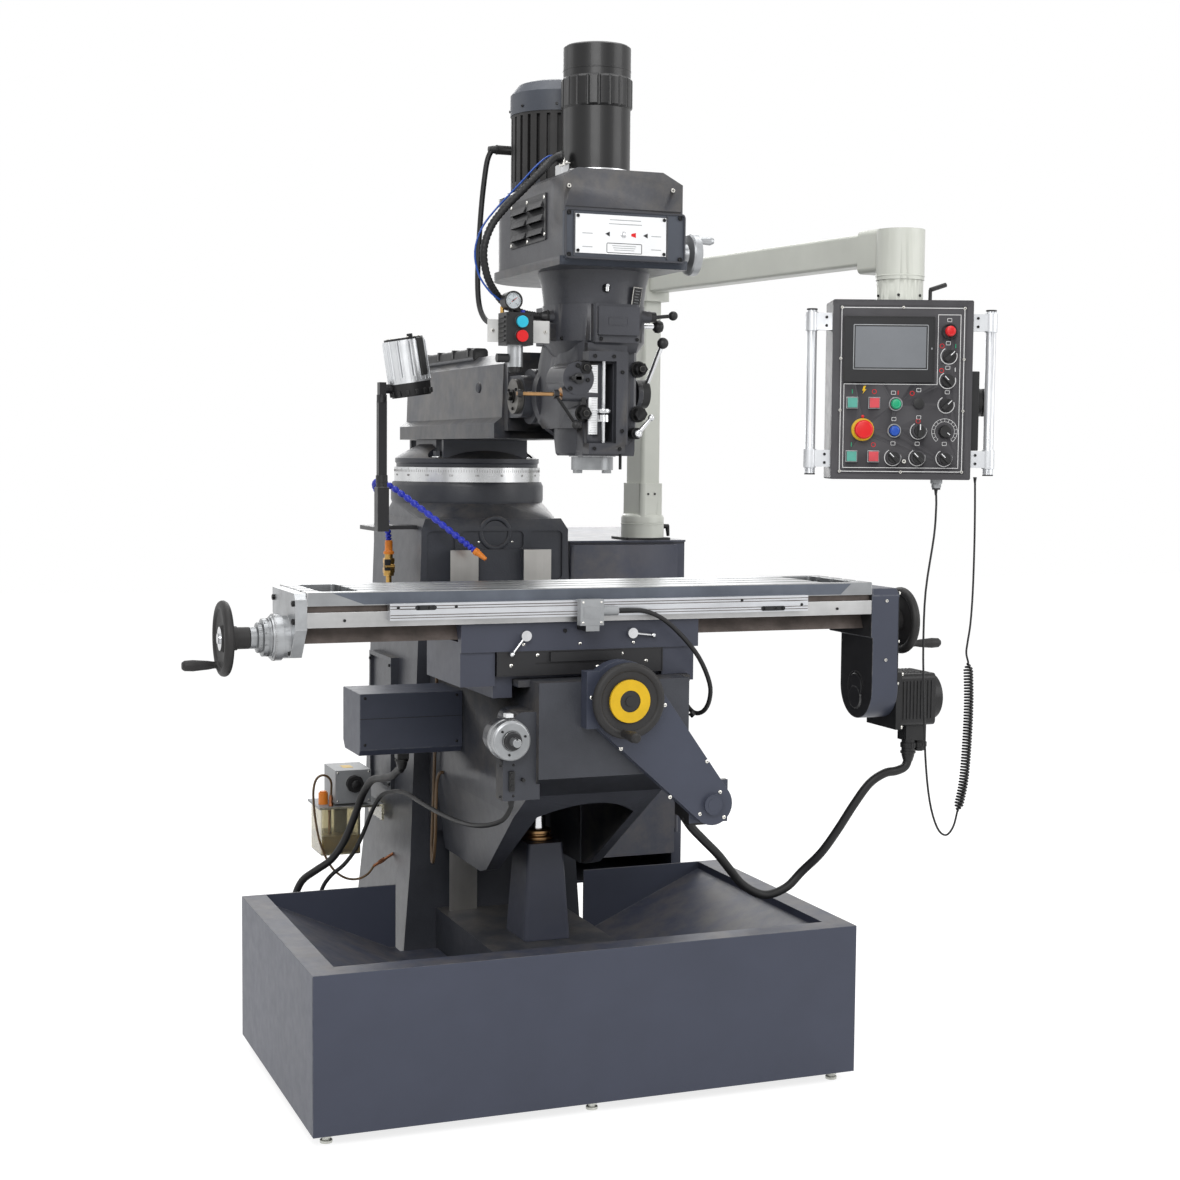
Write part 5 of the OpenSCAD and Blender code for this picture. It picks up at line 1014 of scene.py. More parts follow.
frameLine(head, (-16, 26), (1676, 1692), 1.6, "headPaint", facing(ahead, (0, -600, 0)), corner=1.5, high=0.9)
screws(head, neck["frontScrews"], ahead, 3.6, "boltBlack")
screws(head, neck["sideScrews"], leftward, 4, "boltBlack")
y, z = neck["lever"]
head.rod((100, y, z), (128, y, z), 5.5, "brightSteel", bevel=1)
head.rod((84, y, z), (102, y, z), 9, "castAlloy", bevel=1)
head.turned([(0, 0), (8, 0), (13, 5), (14, 12), (11, 19), (5, 22), (0, 22)], "blackPlastic", at=(126, y, z),
            direction=rightward, sides=28)

# feed hub: bolts, crank, and the lower lever with the rod that goes left
feed = {"bolts": [(-80, -590, 1592), (-96, -590, 1545), (-58, -590, 1563)], "crank": (-78, -590, 1566), "rodHeight": 1533}
screws(head, feed["bolts"], ahead, 4.4, "boltBlack")
head.turned([(0, 0), (11, 0), (11, 5), (8, 7), (0, 7)], "blackSteelAndShade", at=feed["crank"], direction=ahead, sides=32)
head.slab((-98, -72), (-597, -592), (1561, 1571), "blackSteelAndShade", 1.5)
head.rod((-94, -590, 1566), (-94, -607, 1566), 4.5, "blackPlastic", bevel=1.2)
z = feed["rodHeight"]
head.rod((-200, -575, z), (-112, -575, z), 4.2, "bronze", sides=20)
head.turned([(0, 0), (9, 0), (9, 12), (0, 12)], "blackSteelAndShade", at=(-128, -575, z), direction=rightward, sides=24, bevel=1)
head.turned([(0, 0), (7, 1), (8.5, 6), (7, 11), (0, 12)], "blackPlastic", at=(-206, -575, z), direction=rightward, sides=24)
head.rod((-122, -584, 1527), (-86, -592, 1474), 3.6, "boltBlack", sides=16)
head.ball((-84, -592.5, 1471), 9.5, "blackPlastic")

# quill guide: scale, threaded stop rod with its nut, screws and the clamp bolts' washers
guide = {
    "scaleLow": 1456, "scaleStep": 5, "stop": (-24, -594), "stopLow": 1434, "threads": 84, "nutLow": 1496,
    "screws": [(-4, -600, 1612), (-46, -600, 1612), (-46, -600, 1423), (10, -600, 1423), (15, -600, 1460), (15, -600, 1580)],
    "clampBolts": [(-62, 1495), (-62, 1588), (62, 1495), (62, 1588)], "clearOfLock": (62, 1495),
    "hubBolts": [(96, y, z) for y, z in ((-508, 1558), (-472, 1558), (-508, 1522), (-472, 1522))],
}
for k in range(28):
    z = guide["scaleLow"] + guide["scaleStep"] * k
    head.slab((-53 if k % 5 == 0 else -48, -37), (-588.4, -587.9), (z - 0.25, z + 0.25), "dialGrey", 0)
for k in range(6):
    figures(head, str(k), 4.5, "dialGrey", facing(ahead, (-49.5, -588, 1459.4 + 25 * k)))
threads = [(0, 0)]
for k in range(guide["threads"]):
    threads += [(4.05, 2 * k), (4.6, 2 * k + 1)]
head.turned(threads + [(4.05, 168), (0, 168)], "brightSteel", at=(*guide["stop"], guide["stopLow"]), sides=16)
head.turned([(4, 0), (13, 0), (13.6, 1.5), (13.6, 6.5), (13, 8), (4, 8)], "brightSteel",
            at=(*guide["stop"], guide["nutLow"]), sides=32)
knurl(head, (*guide["stop"], guide["nutLow"] + 1.5), upward, 24, 13.2, 14.1, 0.7, 0, 5, "brightSteel", 0.2)
screws(head, guide["screws"], ahead, 3.8, "boltBlack")
head.slab((-70, -60), (-588, -580), (1512, 1542), "markBlack", 1.2)
head.rod((27, -563, 1380), (27, -563, 1418), 3.2, "boltBlack", sides=16, bevel=0.5)
for x, z in guide["clampBolts"]:
    head.rod((x, -576.4, z), (x, -573.9, z), 15.5, "boltBlack", bevel=0.5)
    if (x, z) != guide["clearOfLock"]:
        head.rod((x, -596.5, z), (x, -591.9, z), 6.5, "boltBlack", bevel=1, sides=24)
screws(head, guide["hubBolts"], rightward, 3.4, "boltBlack")
head.done("lever_chrome")

# motor: screws round the cap and the flange, and the cap's plate with its slots
motorCap = {"middle": (0, -250), "capScrews": (106, 2163), "flangeBolts": (118, 1985), "slots": 36}
motor = Piece("motorDetail", "head")
x, y = motorCap["middle"]
reach, z = motorCap["capScrews"]
for turn in around(8, 0.5):
    out = (math.cos(turn), math.sin(turn), 0)
    motor.screw((x + reach * out[0], y + reach * out[1], z), out, 3, "boltBlack")
reach, z = motorCap["flangeBolts"]
screws(motor, [(x + reach * math.cos(t), y + reach * math.sin(t), z) for t in around(4, 0.5)], upward, 6, "boltBlack", "hex")
motor.turned([(0, 0), (14, 0), (14, 4), (10, 7), (0, 7)], "motorPaint", at=(x, y, 2220), sides=32)
# thin black bars in the cap's slots: painted shade in the slots
knurl(motor, (x, y, 2221), upward, motorCap["slots"], 30, 66, 1.6, -1.4, -0.6, "markBlack", 0)
motor.done("motor_grey")

# drawbar unit: seam rings, flange screws and the bracket's clip
drawbar = {"middle": (0, -480), "clipScrews": [(-76, -506, 2013.5), (-76, -494, 2013.5)], "flangeTurns": (0.35, 2.4)}
bar = Piece("drawbarDetail", "head")
for profile, look, z in (([(70.6, 0), (71.6, 0.8), (71.6, 2.6), (70.6, 3.4)], "gloss", 2206),
                         ([(73.6, 0), (74.8, 1), (74.8, 3), (73.6, 4)], "ringSteel", 1992),
                         ([(74, 0), (79, 0), (79, 3), (74, 3)], "screwZinc", 1985)):
    bar.turned(profile, look, at=(*drawbar["middle"], z), sides=96)
bar.slab((-86, -82), (-512, -488), (2006, 2022), "screwZinc", 0.6)
bar.slab((-84, -70), (-512, -488), (2011, 2013.5), "screwZinc", 0.6)
screws(bar, drawbar["clipScrews"], upward, 3.4)
screws(bar, [(88 * math.cos(t), -480 + 88 * math.sin(t), 1985) for t in drawbar["flangeTurns"]], upward, 5)
bar.done("drawbar_black")

# drawbar's button box: pressure gauge, rings round the buttons, regulator and tube stubs
buttonBox = {
    "gauge": facing(ahead, (-206, -549, 1722)), "marks": 21, "sweep": 270, "needle": -0.9, "buttons": (1650, 1679),
    "screws": [(-219, -560, 1693), (-171, -560, 1693), (-219, -560, 1637), (-171, -560, 1637)],
    "bracketScrews": [(-236, -508, 1663), (-122, -508, 1663)], "regulator": (-196, -534, 1577),
    # tube stubs: start, end, radius, look, bevel
    "stubs": [((-218, -515, 1698), (-218, -515, 1712), 4.2, "brass", 0.6),
              ((-180, -534, 1698), (-180, -534, 1704), 4.6, "hoseBlue", 0.6),
              ((-168, -534, 1690), (-160, -534, 1690), 5.6, "hoseBlue", 0.8)],
}
box = Piece("drawbarBoxDetail", "head")
gauge = buttonBox["gauge"]
box.turned([(16.2, -1), (19.6, -1), (19.6, 3.2), (18.4, 4), (16.6, 4), (16.2, 2.6)], "blackPlastic", sides=40, place=gauge)
for k in range(buttonBox["marks"]):
    long = 3.4 if k % 5 == 0 else 2
    box.slab((14.4 - long, 14.4), (-0.28, 0.28), (0, 0.25), "markBlack", 0, place=turnedBy(gauge, 225 - 13.5 * k))
for k in range(5):
    turn = math.radians(225 - buttonBox["sweep"] / 4 * k)
    figures(box, str(2 * k), 3.4, "markBlack", gauge @ Matrix.Translation((8.6 * math.cos(turn), 8.6 * math.sin(turn), 0.1)))
box.cut([(-0.9, -4), (0.9, -4), (0.25, 12), (-0.25, 12)], 0.4, 0.9, "red",
        place=gauge @ Matrix.Rotation(buttonBox["needle"], 4, "Z"), bevel=0)
box.rod((0, 0, 0), (0, 0, 1.6), 1.8, "boltBlack", sides=16, bevel=0.2, place=gauge)
box.turned([(0, 2.7), (16.3, 2.7), (16.3, 3.1), (0, 3.5)], "glassCover", sides=32, place=gauge)
for z in buttonBox["buttons"]:
    box.turned([(12.9, 0), (14.6, 0), (14.6, 1.4), (13.8, 2), (12.9, 2)], "blackSteelAndShade", at=(-192, -560, z), direction=ahead,
               sides=32)
screws(box, buttonBox["screws"], ahead, 2.2, "boltBlack", "pan")
for k in range(6):
    box.slab((-227, -223.8), (-552, -516), (1639 + 9.5 * k, 1643 + 9.5 * k), "blackPlastic", 0.8)
screws(box, buttonBox["bracketScrews"], ahead, 3.4)
box.turned([(0, 0), (12, 0), (13, 2), (13, 11), (11, 13), (0, 13)], "blackPlastic", at=buttonBox["regulator"], sides=32)
knurl(box, (-196, -534, 1579), upward, 20, 12.6, 13.8, 0.8, 0, 8, "blackPlastic")
for start, end, radius, look, bevel in buttonBox["stubs"]:
    box.rod(start, end, radius, look, bevel=bevel, sides=24)
box.done("black_plastic")

# turret: degree ring and bolt washers
turret = {"middle": (0, 401), "ringRadius": 185.2, "boltRadius": 159, "boltTurns": (45, 135, 225, 315)}
ring = Piece("turretDetail", "turret_body")
ringScale(ring, (*turret["middle"], 1340), upward, turret["ringRadius"], 24, 11.5, 180, look="oldIronAndShade", wide=0.55,
          words=[str(20 * min(k, 18 - k)) for k in range(18)], size=7, above=16)
for turn in (math.radians(t) for t in turret["boltTurns"]):
    x, y = turret["boltRadius"] * math.cos(turn), 401 + turret["boltRadius"] * math.sin(turn)
    ring.rod((x, y, 1400), (x, y, 1403), 17, "ringSteel", bevel=0.5)
ring.done("dial_steel")

# ram: rack teeth, screws and side plugs
ram = {"teeth": (90, 210, 330, 450), "screws": [(x, y, 1637) for y in (-180, 180, 520) for x in (-70, 70)]}
rear = Piece("ramDetail", "ram_body")
for y in ram["teeth"]:
    rear.slab((-99, -55), (y, y + 9), (1640, 1660.6), "blackSteelAndShade", 1.2)
screws(rear, ram["screws"], upward, 5, "boltBlack")
for side in (-1, 1):
    rear.turned([(0, 0), (11, 0), (12.5, 1.2), (12.5, 5), (10, 7), (0, 7)], "castPaint", at=(side * 133, -110, 1560),
                direction=(side, 0, 0), sides=28)
rear.done("casting")

# ram adapter: tilt scales, pivot screws and flange bolts
adapter = {"pivot": (-300, 1536), "flangeRadius": 82}
tilt = Piece("adapterDetail", "adapter")
y, z = adapter["pivot"]
for side in (-1, 1):
    ringScale(tilt, (side * 106.4, y, z), (side, 0, 0), 38.1, 4, 9, 72, wide=0.4)
    tilt.screw((side * 120, y, z), (side, 0, 0), 11, "boltBlack", "hex")
    for k in range(3):
        turn = k * math.tau / 3 + 0.5
        tilt.screw((side * 120, y + 27 * math.cos(turn), z + 27 * math.sin(turn)), (side, 0, 0), 3.6, "boltBlack")
reach = adapter["flangeRadius"]
screws(tilt, [(reach * math.cos(t), -352, z + reach * math.sin(t)) for t in around(6, 0.5)], (0, 1, 0), 6, "boltBlack", "hex")
tilt.done("casting")
print("head and ram detailed")

# pendant: bezel, screen, printed lines, rings and scales, all on the flat of the panel
control = {
    "screws": [(-131, 174, 0), (0, 175, 0), (131, 174, 0), (-132, 66, 0), (131, 66, 0), (-132, -44, 0), (131, -44, 0),
               (-131, -174, 0), (0, -175, 0), (131, -174, 0)],
    "uprights": ((-124, -166, 12), (75, 12, 160), (123, -166, 160)),
    "levels": ((-166, -124, 123), (12, -124, 75), (160, 75, 123)),
    "buttonRings": ((-13, -30, 12, "dialGrey"), (-15, -87, 12, "dialGrey"), (99, 125, 14, "blackPlastic")),
    "squareButtons": ((-106, -28, "tealCap"), (-59, -28, "roseCap"), (-106, -142, "tealCap"), (-59, -142, "roseCap")),
    # selectors: place, and the turn of those that are part of the box
    "selectors": ((99, 73, None), (97, 21, None), (95, -31, None), (37, -87, 0), (-17, -144, 0.78), (35, -144, 0.78),
                  (93, -145, 0.78)),
    "override": (93, -88),
    "circles": ((-59, -4), (84, 94), (84, 42), (-59, -117), (22, -7), (36, -66)),
    "strokes": ((-106, -4, "green"), (113, 94, "green"), (113, 44, "printLine"), (-106, -117, "green"), (-8, -6, "red")),
    "labels": ((97, 100), (97, 48), (97, -4), (99, 149), (-16, -62), (37, -58), (-17, -114), (35, -114), (93, -114),
               (-18, -6), (36, 0)),
    "bolt": [(-82, 8), (-77, 8), (-79.6, 1), (-76, 1), (-84, -9), (-81.6, -2), (-85, -2)],
    "handleX": 192, "sleeves": (1389, 1681), "caps": ((1372, 1375), (1723, 1726.5)),
}
panel = Piece("pendantDetail", "pendant")
flat = onPanel(0, 0)
frameLine(panel, (-131, 131), (-174, 174), 1.7, "printLine", flat, corner=6)
screws(panel, control["screws"], upward, 3.2, place=flat)
for u, low, high in control["uprights"]:
    panel.slab((u - 0.7, u + 0.7), (low, high), (0, 0.35), "printLine", 0, place=flat)
for v, low, high in control["levels"]:
    panel.slab((low - 0.7, high + 0.7), (v - 0.7, v + 0.7), (0, 0.35), "printLine", 0, place=flat)
# the screen in its two frames
panel.slab((-126.4, 67.4), (16.6, 155.4), (4.9, 5.3), "screenFrame", 0.2, place=flat)
frameLine(panel, (-125.5, 66.5), (17.5, 154.5), 2.4, "blackPlastic", onPanel(0, 0, 5), corner=2, high=1.6)
frameLine(panel, (-105.5, 52.5), (43.5, 137.5), 1.6, "dialGrey", onPanel(0, 0, 5.2), corner=1.2, high=1.0)
panel.slab((-102, 49), (47, 134), (5.2, 5.9), "screenGrey", 0.1, place=flat)
panel.slab((60, 62.5), (86, 90), (5.2, 5.7), "dialGrey", 0, place=flat)
for u, v, r, look in control["buttonRings"]:
    panel.turned([(r + 0.6, 0), (r + 3.2, 0), (r + 3.2, 2), (r + 2, 3.2), (r + 0.6, 3.2)], look, sides=40, place=onPanel(u, v))
for u, v, look in control["squareButtons"]:
    panel.slab((-12.5, 12.5), (-12.5, 12.5), (0, 3), "dialGrey", 0.8, place=onPanel(u, v))
    panel.slab((-10.4, 10.4), (-10.4, 10.4), (6.4, 8.4), look, 1.4, place=onPanel(u, v))
panel.turned([(17, 0), (24.3, 0), (24.3, 3.6), (22.5, 5), (17, 5)], "yellow", sides=48, place=onPanel(-83, -85))
panel.turned([(0, 3), (11, 3), (11.6, 3.6), (11.6, 5), (10, 6), (0, 6)], "blackPlastic", sides=32, place=onPanel(36, -28))
for u, v, turn in control["selectors"]:
    place = onPanel(u, v)
    arcLine(panel, 17.4, 118, 380, 1.8, "printLine", place)
    if turn is not None:
        knob = place @ Matrix.Rotation(turn, 4, "Z")
        panel.turned([(0, 14), (12, 14), (12, 16), (10.8, 17.4), (0, 17.4)], "blackPlastic", sides=36, place=place)
        panel.slab((-4.2, 4.2), (-14.4, 14.4), (14, 24), "blackPlastic", 1.6, place=knob)
        panel.slab((-0.9, 0.9), (2, 14), (24, 24.4), "plateWhite", 0.1, place=knob)
override = onPanel(*control["override"])
for radius, wide in ((27.6, 0.9), (21.2, 0.7)):
    arcLine(panel, radius, -50, 230, wide, "printLine", override)
for k in range(15):
    panel.slab((21.4, 27.4), (-0.4, 0.4), (0, 0.35), "printLine", 0, place=turnedBy(override, -50 + 20 * k))
for u, v in control["circles"]:
    arcLine(panel, 4.4, 0, 360, 1.2, "red", onPanel(u, v))
for u, v, look in control["strokes"]:
    panel.slab((-0.8, 0.8), (-4.4, 4.4), (0, 0.35), look, 0, place=onPanel(u, v))
for u, v in control["labels"]:
    frameLine(panel, (u - 4.5, u + 4.5), (v - 3.5, v + 3.5), 1, "printLine", flat, corner=1)
panel.cut(control["bolt"], 0, 0.4, "yellow", place=flat, bevel=0)
panel.ball((-83, -57, 1), 3.4, "red", squash=(1, 1, 0.4), place=flat)
panel.screw((7, -152, 0), upward, 4.6, "screwZinc", place=flat)
# handles' sleeves and end caps, swivel screws and the cord's gland
for side in (-1, 1):
    x = side * control["handleX"]
    for low, high in control["caps"]:
        panel.rod((x, -33, low), (x, -33, high), 11.6, "blackPlastic", bevel=0.8, place=pendantPlace)
    for z in control["sleeves"]:
        panel.rod((x, -33, z - 2), (x, -33, z + 38), 13.6, "handleAlloy", bevel=1, place=pendantPlace)
        screws(panel, [(side * 162, -43, z + 9), (side * 162, -43, z + 27)], ahead, 3, "boltBlack", place=pendantPlace)
for turn in around(6, 0.3):
    out = (math.cos(turn), math.sin(turn), 0)
    panel.screw((50 * out[0], 50 * out[1], 1756), out, 3, "boltBlack", place=pendantPlace)
panel.turned([(0, 0), (13, 0), (13, 8), (10.5, 10), (10.5, 16), (7, 22), (0, 22)], "dialGrey", at=(88, 0, 1363),
             direction=downward, sides=24, place=pendantPlace)
# the box's back: door seam and screws
backFace = (pendantPlace @ Matrix.Translation((0, 55, 1554))
            @ Matrix.Rotation(math.pi, 4, "Z") @ Matrix.Rotation(math.pi / 2, 4, "X"))
frameLine(panel, (-136, 136), (-176, 176), 1.6, "markBlack", backFace, corner=3, high=0.3)
screws(panel, [(u, v, 0) for v in (-120, 120) for u in (-120, 120)], upward, 4, "boltBlack", place=backFace)
panel.done("pendant_paint")

# pulse generator on the pendant's side
wheel = Piece("mpgDetail", "pendant")
side = pendantPlace @ Matrix.Translation((180, 0, 1530)) @ Matrix.Rotation(math.pi / 2, 4, "Y")
wheel.turned([(0, 0), (27, 0), (29, 2), (29, 6), (26, 9), (9, 9), (8, 7), (0, 7)], "blackPlastic", sides=48, place=side)
knurl(wheel, None, None, 25, 28.4, 30, 1.2, 1.5, 7, "blackPlastic", 0.4, place=side)
wheel.turned([(0, 0), (4.5, 0), (4.2, 3), (4.8, 5), (4, 7), (0, 7)], "blackPlastic", at=(0, 18, 8), sides=20, place=side)
wheel.done("black_plastic")
print("pendant detailed")

# table: front lip, rail, stops, end bracket and dial scale
tableParts = {
    "lip": [(-584, 1132), (582, 1132), (556, 1108.5), (-520, 1108.5)], "lipScrews": [(548, -559, 1077), (-560, -559, 1077)],
    "railGrooves": (1081, 1086.5, 1099, 1104.5), "railRidges": ((1083.5, 3), (1093, 9), (1102, 3)),
    "stopSlots": ((-420, -375, 1101), (352, 410, 1083)),
    "railScrews": [(-455, -578.9, 1102), (-334, -578.9, 1102), (306, -578.9, 1102), (450, -578.9, 1090)],
    "bracketScrews": [(-659, -548, 1112), (-659, -548, 1076), (-659, -365, 1112)],
    "lowScrews": [(-659, -510, 1010), (-659, -450, 1010)],
}
bed = Piece("tableDetail", "table_body")
bed.cut(tableParts["lip"], -0.2, 0.5, "darkLip", place=facing(ahead, (0, -559, 0)), bevel=0)
screws(bed, tableParts["lipScrews"], ahead, 3, "boltBlack")
# dark strips along the rail's grooves: painted shade in the grooves
for z in tableParts["railGrooves"]:
    bed.slab((-471, 465), (-578.5, -577.8), (z - 0.7, z + 0.7), "oldIronAndShade", 0)
for z, tall in tableParts["railRidges"]:
    bed.slab((-471.2, 465.2), (-578.9, -577.5), (z - tall / 2, z + tall / 2), "railAlloy", 0.4)
# each stop's slot is a black strip with round ends: painted shade in the slot
for left, right, z in tableParts["stopSlots"]:
    for x in (left + 5, right - 5):
        bed.rod((x, -578.9, z), (x, -579.3, z), 5, "markBlack", bevel=0)
    bed.slab((left + 5, right - 5), (-579.3, -578.7), (z - 5, z + 5), "markBlack", 0)
    middle = (left + right) / 2 + 6
    bed.rod((middle, -579.2, z), (middle, -580.4, z), 4, "boltBlack", bevel=0.4, sides=20)
screws(bed, tableParts["railScrews"], ahead, 3.4, "boltBlack", "pan")
screws(bed, tableParts["bracketScrews"], leftward, 6, "boltBlack")
screws(bed, tableParts["lowScrews"], leftward, 5, "boltBlack")
ringScale(bed, (-690, -480, 1040), rightward, 47.2, 0.5, 5, 72, look="oldIronAndShade", wide=0.4)

# table's belt cover and servo: lip, boss ring, screws, fins and connectors
tableServo = {
    "coverScrews": [(706, y, z) for y in (-553, -421) for z in (1108, 1000, 905)], "boss": (-487, 894),
    "frontScrews": [(672, -559, 1092), (672, -559, 960)],
    "flangeBolts": [(720, y, z) for y in (-547, -427) for z in (805, 925)],
    "fins": 9, "finStep": 9, "connectors": ((762, -514), (794, -508)),
}
screws(bed, tableServo["coverScrews"], rightward, 4)
# the boss and its ring on the cover's inner left face are painted black: painted shade, as on that face
for profile, x in (([(32, 0), (34, 0.8), (36, 0), (36, -2), (32, -2)], 638.6),
                   ([(0, 1.6), (28, 1.6), (30, 0), (30, -2), (0, -2)], 637)):
    bed.turned(profile, "blackSteelAndShade", at=(x, *tableServo["boss"]), direction=leftward, sides=64)
bed.slab((703.4, 704.6), (-559.8, -558.8), (905, 1100), "markBlack", 0)
screws(bed, tableServo["frontScrews"], ahead, 3.6)
screws(bed, tableServo["flangeBolts"], rightward, 5)
for k in range(tableServo["fins"]):
    x = 728 + tableServo["finStep"] * k
    bed.slab((x, x + 3), (-548, -546), (822, 908), "blackPlastic", 0.6)
    bed.slab((x, x + 3), (-530, -444), (923.5, 925.4), "blackPlastic", 0.6)
for x, y in tableServo["connectors"]:
    bed.turned([(15, 0), (17, 1), (17, 12), (15, 13)], "blackPlastic", at=(x, y, 752), sides=32)
    knurl(bed, (x, y, 753.5), upward, 16, 16.6, 17.8, 1, 0, 10, "blackPlastic", 0.4)
bed.turned([(0, 0), (9, 0), (9, -2), (0, -2)], "blackPlastic", at=(794, -508, 745), sides=24)
bed.done("table_iron")

# long screw: dial figures, knurled collar, and the nuts that hold the handwheels
longScrew = {"axis": (-480, 1040), "dialRadius": 38.1, "wheels": ((-770, -1), (764, 1))}
y, z = longScrew["axis"]
screw = Piece("screwDetail", "long_screw")
ringScale(screw, (-694.4, y, z), leftward, longScrew["dialRadius"], 3, 9, 100, wide=0.35,
          words=[str(10 * k) for k in range(10)], size=4.2, above=13.4)
knurl(screw, (-712, y, z), leftward, 40, 29.8, 30.7, 0.9, 0.6, 7.6, "dialGrey", 0.2)
for x, side in longScrew["wheels"]:
    screw.rod((x, y, z), (x + side * 6, y, z), 13, "screwZinc", sides=6, bevel=1.2)
    screw.rod((x - side * 1.5, y, z), (x + side * 1.2, y, z), 17, "screwZinc", sides=32, bevel=0.5)
    screw.rod((x + side * 6, y, z), (x + side * 12, y, z), 8.5, "brightSteel", sides=24, bevel=1)
screw.done("wheel_black")

# saddle: wiper plate's screws, reader's plate and screws, and the cable clamp
saddleParts = {
    "wiperScrews": [(x, -545.8, z) for x, z in ((-205, 974), (-147, 994), (-53, 992), (-13, 966), (42, 992), (98, 975))],
    "blackScrews": [(-87, -546.2, 1044), (-34, -546.2, 1043)],
    "panScrews": [(-178, -546.2, 1017), (-53, -546.2, 1016), (68, -546.2, 1015)],
    "readerScrews": [(x, -598, z) for z in (1064, 1106) for x in (-66, -26)],
    "boxScrews": [(240, y, z) for y in (-455, -421) for z in (945, 994)], "sidePlugs": (-498, -432, -366),
}
sledge = Piece("saddleDetail", "saddle_body")
screws(sledge, saddleParts["wiperScrews"], ahead, 4.2, "screwZinc", "pan")
screws(sledge, saddleParts["blackScrews"], ahead, 4, "boltBlack")
screws(sledge, saddleParts["panScrews"], ahead, 3.6, "screwZinc", "pan")
frameLine(sledge, (-235, 135), (953, 1002), 2, "blackSteelAndShade", facing(ahead, (0, -545.9, 0)), corner=2, high=1.2)
sledge.slab((-150, 60), (-547.4, -546), (976.5, 978), "markBlack", 0)
screws(sledge, saddleParts["readerScrews"], ahead, 2.4, "screwZinc", "pan")
sledge.slab((-66, -26), (-598.6, -597.8), (1072, 1098), "dialGrey", 0.2)
screws(sledge, saddleParts["boxScrews"], rightward, 2.6, "boltBlack")
sledge.turned([(5.2, 0), (8.2, 0), (8.2, 9), (7, 11), (5.2, 11)], "blackPlastic", at=(221, -528, 850),
              direction=(-0.6, 0.4, 0.7), sides=24)
for y in saddleParts["sidePlugs"]:
    sledge.rod((219.8, y, 1032), (221.4, y, 1032), 3, "boltBlack", bevel=0.3, sides=16)
sledge.done("grey_paint")

# knee: belt cover's screws and lip, drive cover's crease and glands, the dial's index and its switch
kneeParts = {
    "coverScrews": [(x, -648, z) for x, z in ((98, 893), (0, 806), (196, 770), (112, 699), (227, 703), (181, 659),
                                              (237, 649), (-66, 915))],
    "hub": (211, 678), "driveScrews": [(x, -100, z) for z in (858, 752) for x in (-398, -182)], "glands": (-330, -250),
    "switchScrews": [(x, -600, z) for z in (712, 776) for x in (-245, -217)], "switchButtons": (730, 743, 756),
    "frontScrews": [(150, -548.1, 800), (150, -548.1, 880)],
}
knee = Piece("kneeDetail", "knee_body")
screws(knee, kneeParts["coverScrews"], ahead, 4.4, "screwZinc", "pan")
x, z = kneeParts["hub"]
knee.turned([(20.5, 0), (22.3, 0), (22.3, 1.2), (20.5, 1.2)], "navyPaint", at=(x, -655.5, z), direction=ahead, sides=48)
knee.rod((x, -656, z), (x, -656.8, z), 14, "navyPaint", bevel=0.4)
# a black line along the drive cover's crease: painted shade in the crease
knee.slab((-410.2, -169), (-100.5, -99.9), (810.4, 811.6), "markBlack", 0)
screws(knee, kneeParts["driveScrews"], ahead, 3.4, "boltBlack", "pan")
for x in kneeParts["glands"]:
    knee.rod((x, -34, 726), (x, -34, 719), 4, "screwZinc", bevel=0.5, sides=20)
knee.slab((-309, -271), (-39, -1), (719, 723), "screwZinc", 0.6)
knee.slab((-240, -224), (-618, -600.5), (876, 884), "plateWhite", 0.6)
screws(knee, kneeParts["switchScrews"], ahead, 3, "boltBlack", "pan")
knee.rod((-198, -600, 745), (-198, -611, 745), 4, "blackPlastic", bevel=1)
knee.slab((-228, -216), (-607, -600), (722, 764), "blackPlastic", 1.6)
for z in kneeParts["switchButtons"]:
    knee.rod((-222, -607, z), (-222, -609.5, z), 4.4, "blackPlastic", bevel=0.6, sides=20)
screws(knee, kneeParts["frontScrews"], ahead, 5, "boltBlack")
knee.done("belt_cover_paint")

# knee's dial: two scales, rings and clamp screws
zDial = {"at": (-232, -600.4, 831), "scales": ((43.1, 1, 6, 100), (41.1, 14, 8, 50))}
dial = Piece("zDialDetail", "z_dial_body")
for radius, low, tall, count in zDial["scales"]:
    ringScale(dial, zDial["at"], ahead, radius, low, tall, count, look="oldIronAndShade", wide=0.4)
dial.turned([(20, 33), (22, 34.2), (35, 34.2), (37, 33)], "dialGrey", at=zDial["at"], direction=ahead, sides=64)
dial.turned([(18, 35), (19.2, 36), (19.2, 38), (18, 39)], "blackSteelAndShade", at=zDial["at"], direction=ahead, sides=48)
screws(dial, [(-232 + 29 * math.cos(t + 0.3), -634.6, 831 + 29 * math.sin(t + 0.3)) for t in around(3)], ahead, 2.6,
       "boltBlack")
dial.done("dial_steel")

# column: round emblem, bolts and the side cover's screws
columnParts = {
    "emblem": (0, 173.2, 1217), "emblemScrews": [(-42, 173.2, 1195), (44, 173.2, 1195)], "bolts": ((16, 1153), (16, 1100)),
    "coverScrews": [(-220, y, z) for z in (580, 730, 880) for y in (342, 528)],
}
stand = Piece("columnDetail", "base")
for profile in ([(31, 0), (33, 3.4), (37, 4.4), (41, 3.4), (43, 0)], [(0, 0.6), (28, 0.6), (30, 0), (0, 0)]):
    stand.turned(profile, "castPaint", at=columnParts["emblem"], direction=ahead, sides=72)
screws(stand, columnParts["emblemScrews"], ahead, 3, "screwZinc", "pan")
for x, z in columnParts["bolts"]:
    stand.rod((x, 168.3, z), (x, 165.5, z), 11, "ringSteel", bevel=0.6)
    stand.screw((x, 165.5, z), ahead, 8, "screwZinc")
screws(stand, columnParts["coverScrews"], leftward, 4, "boltBlack")

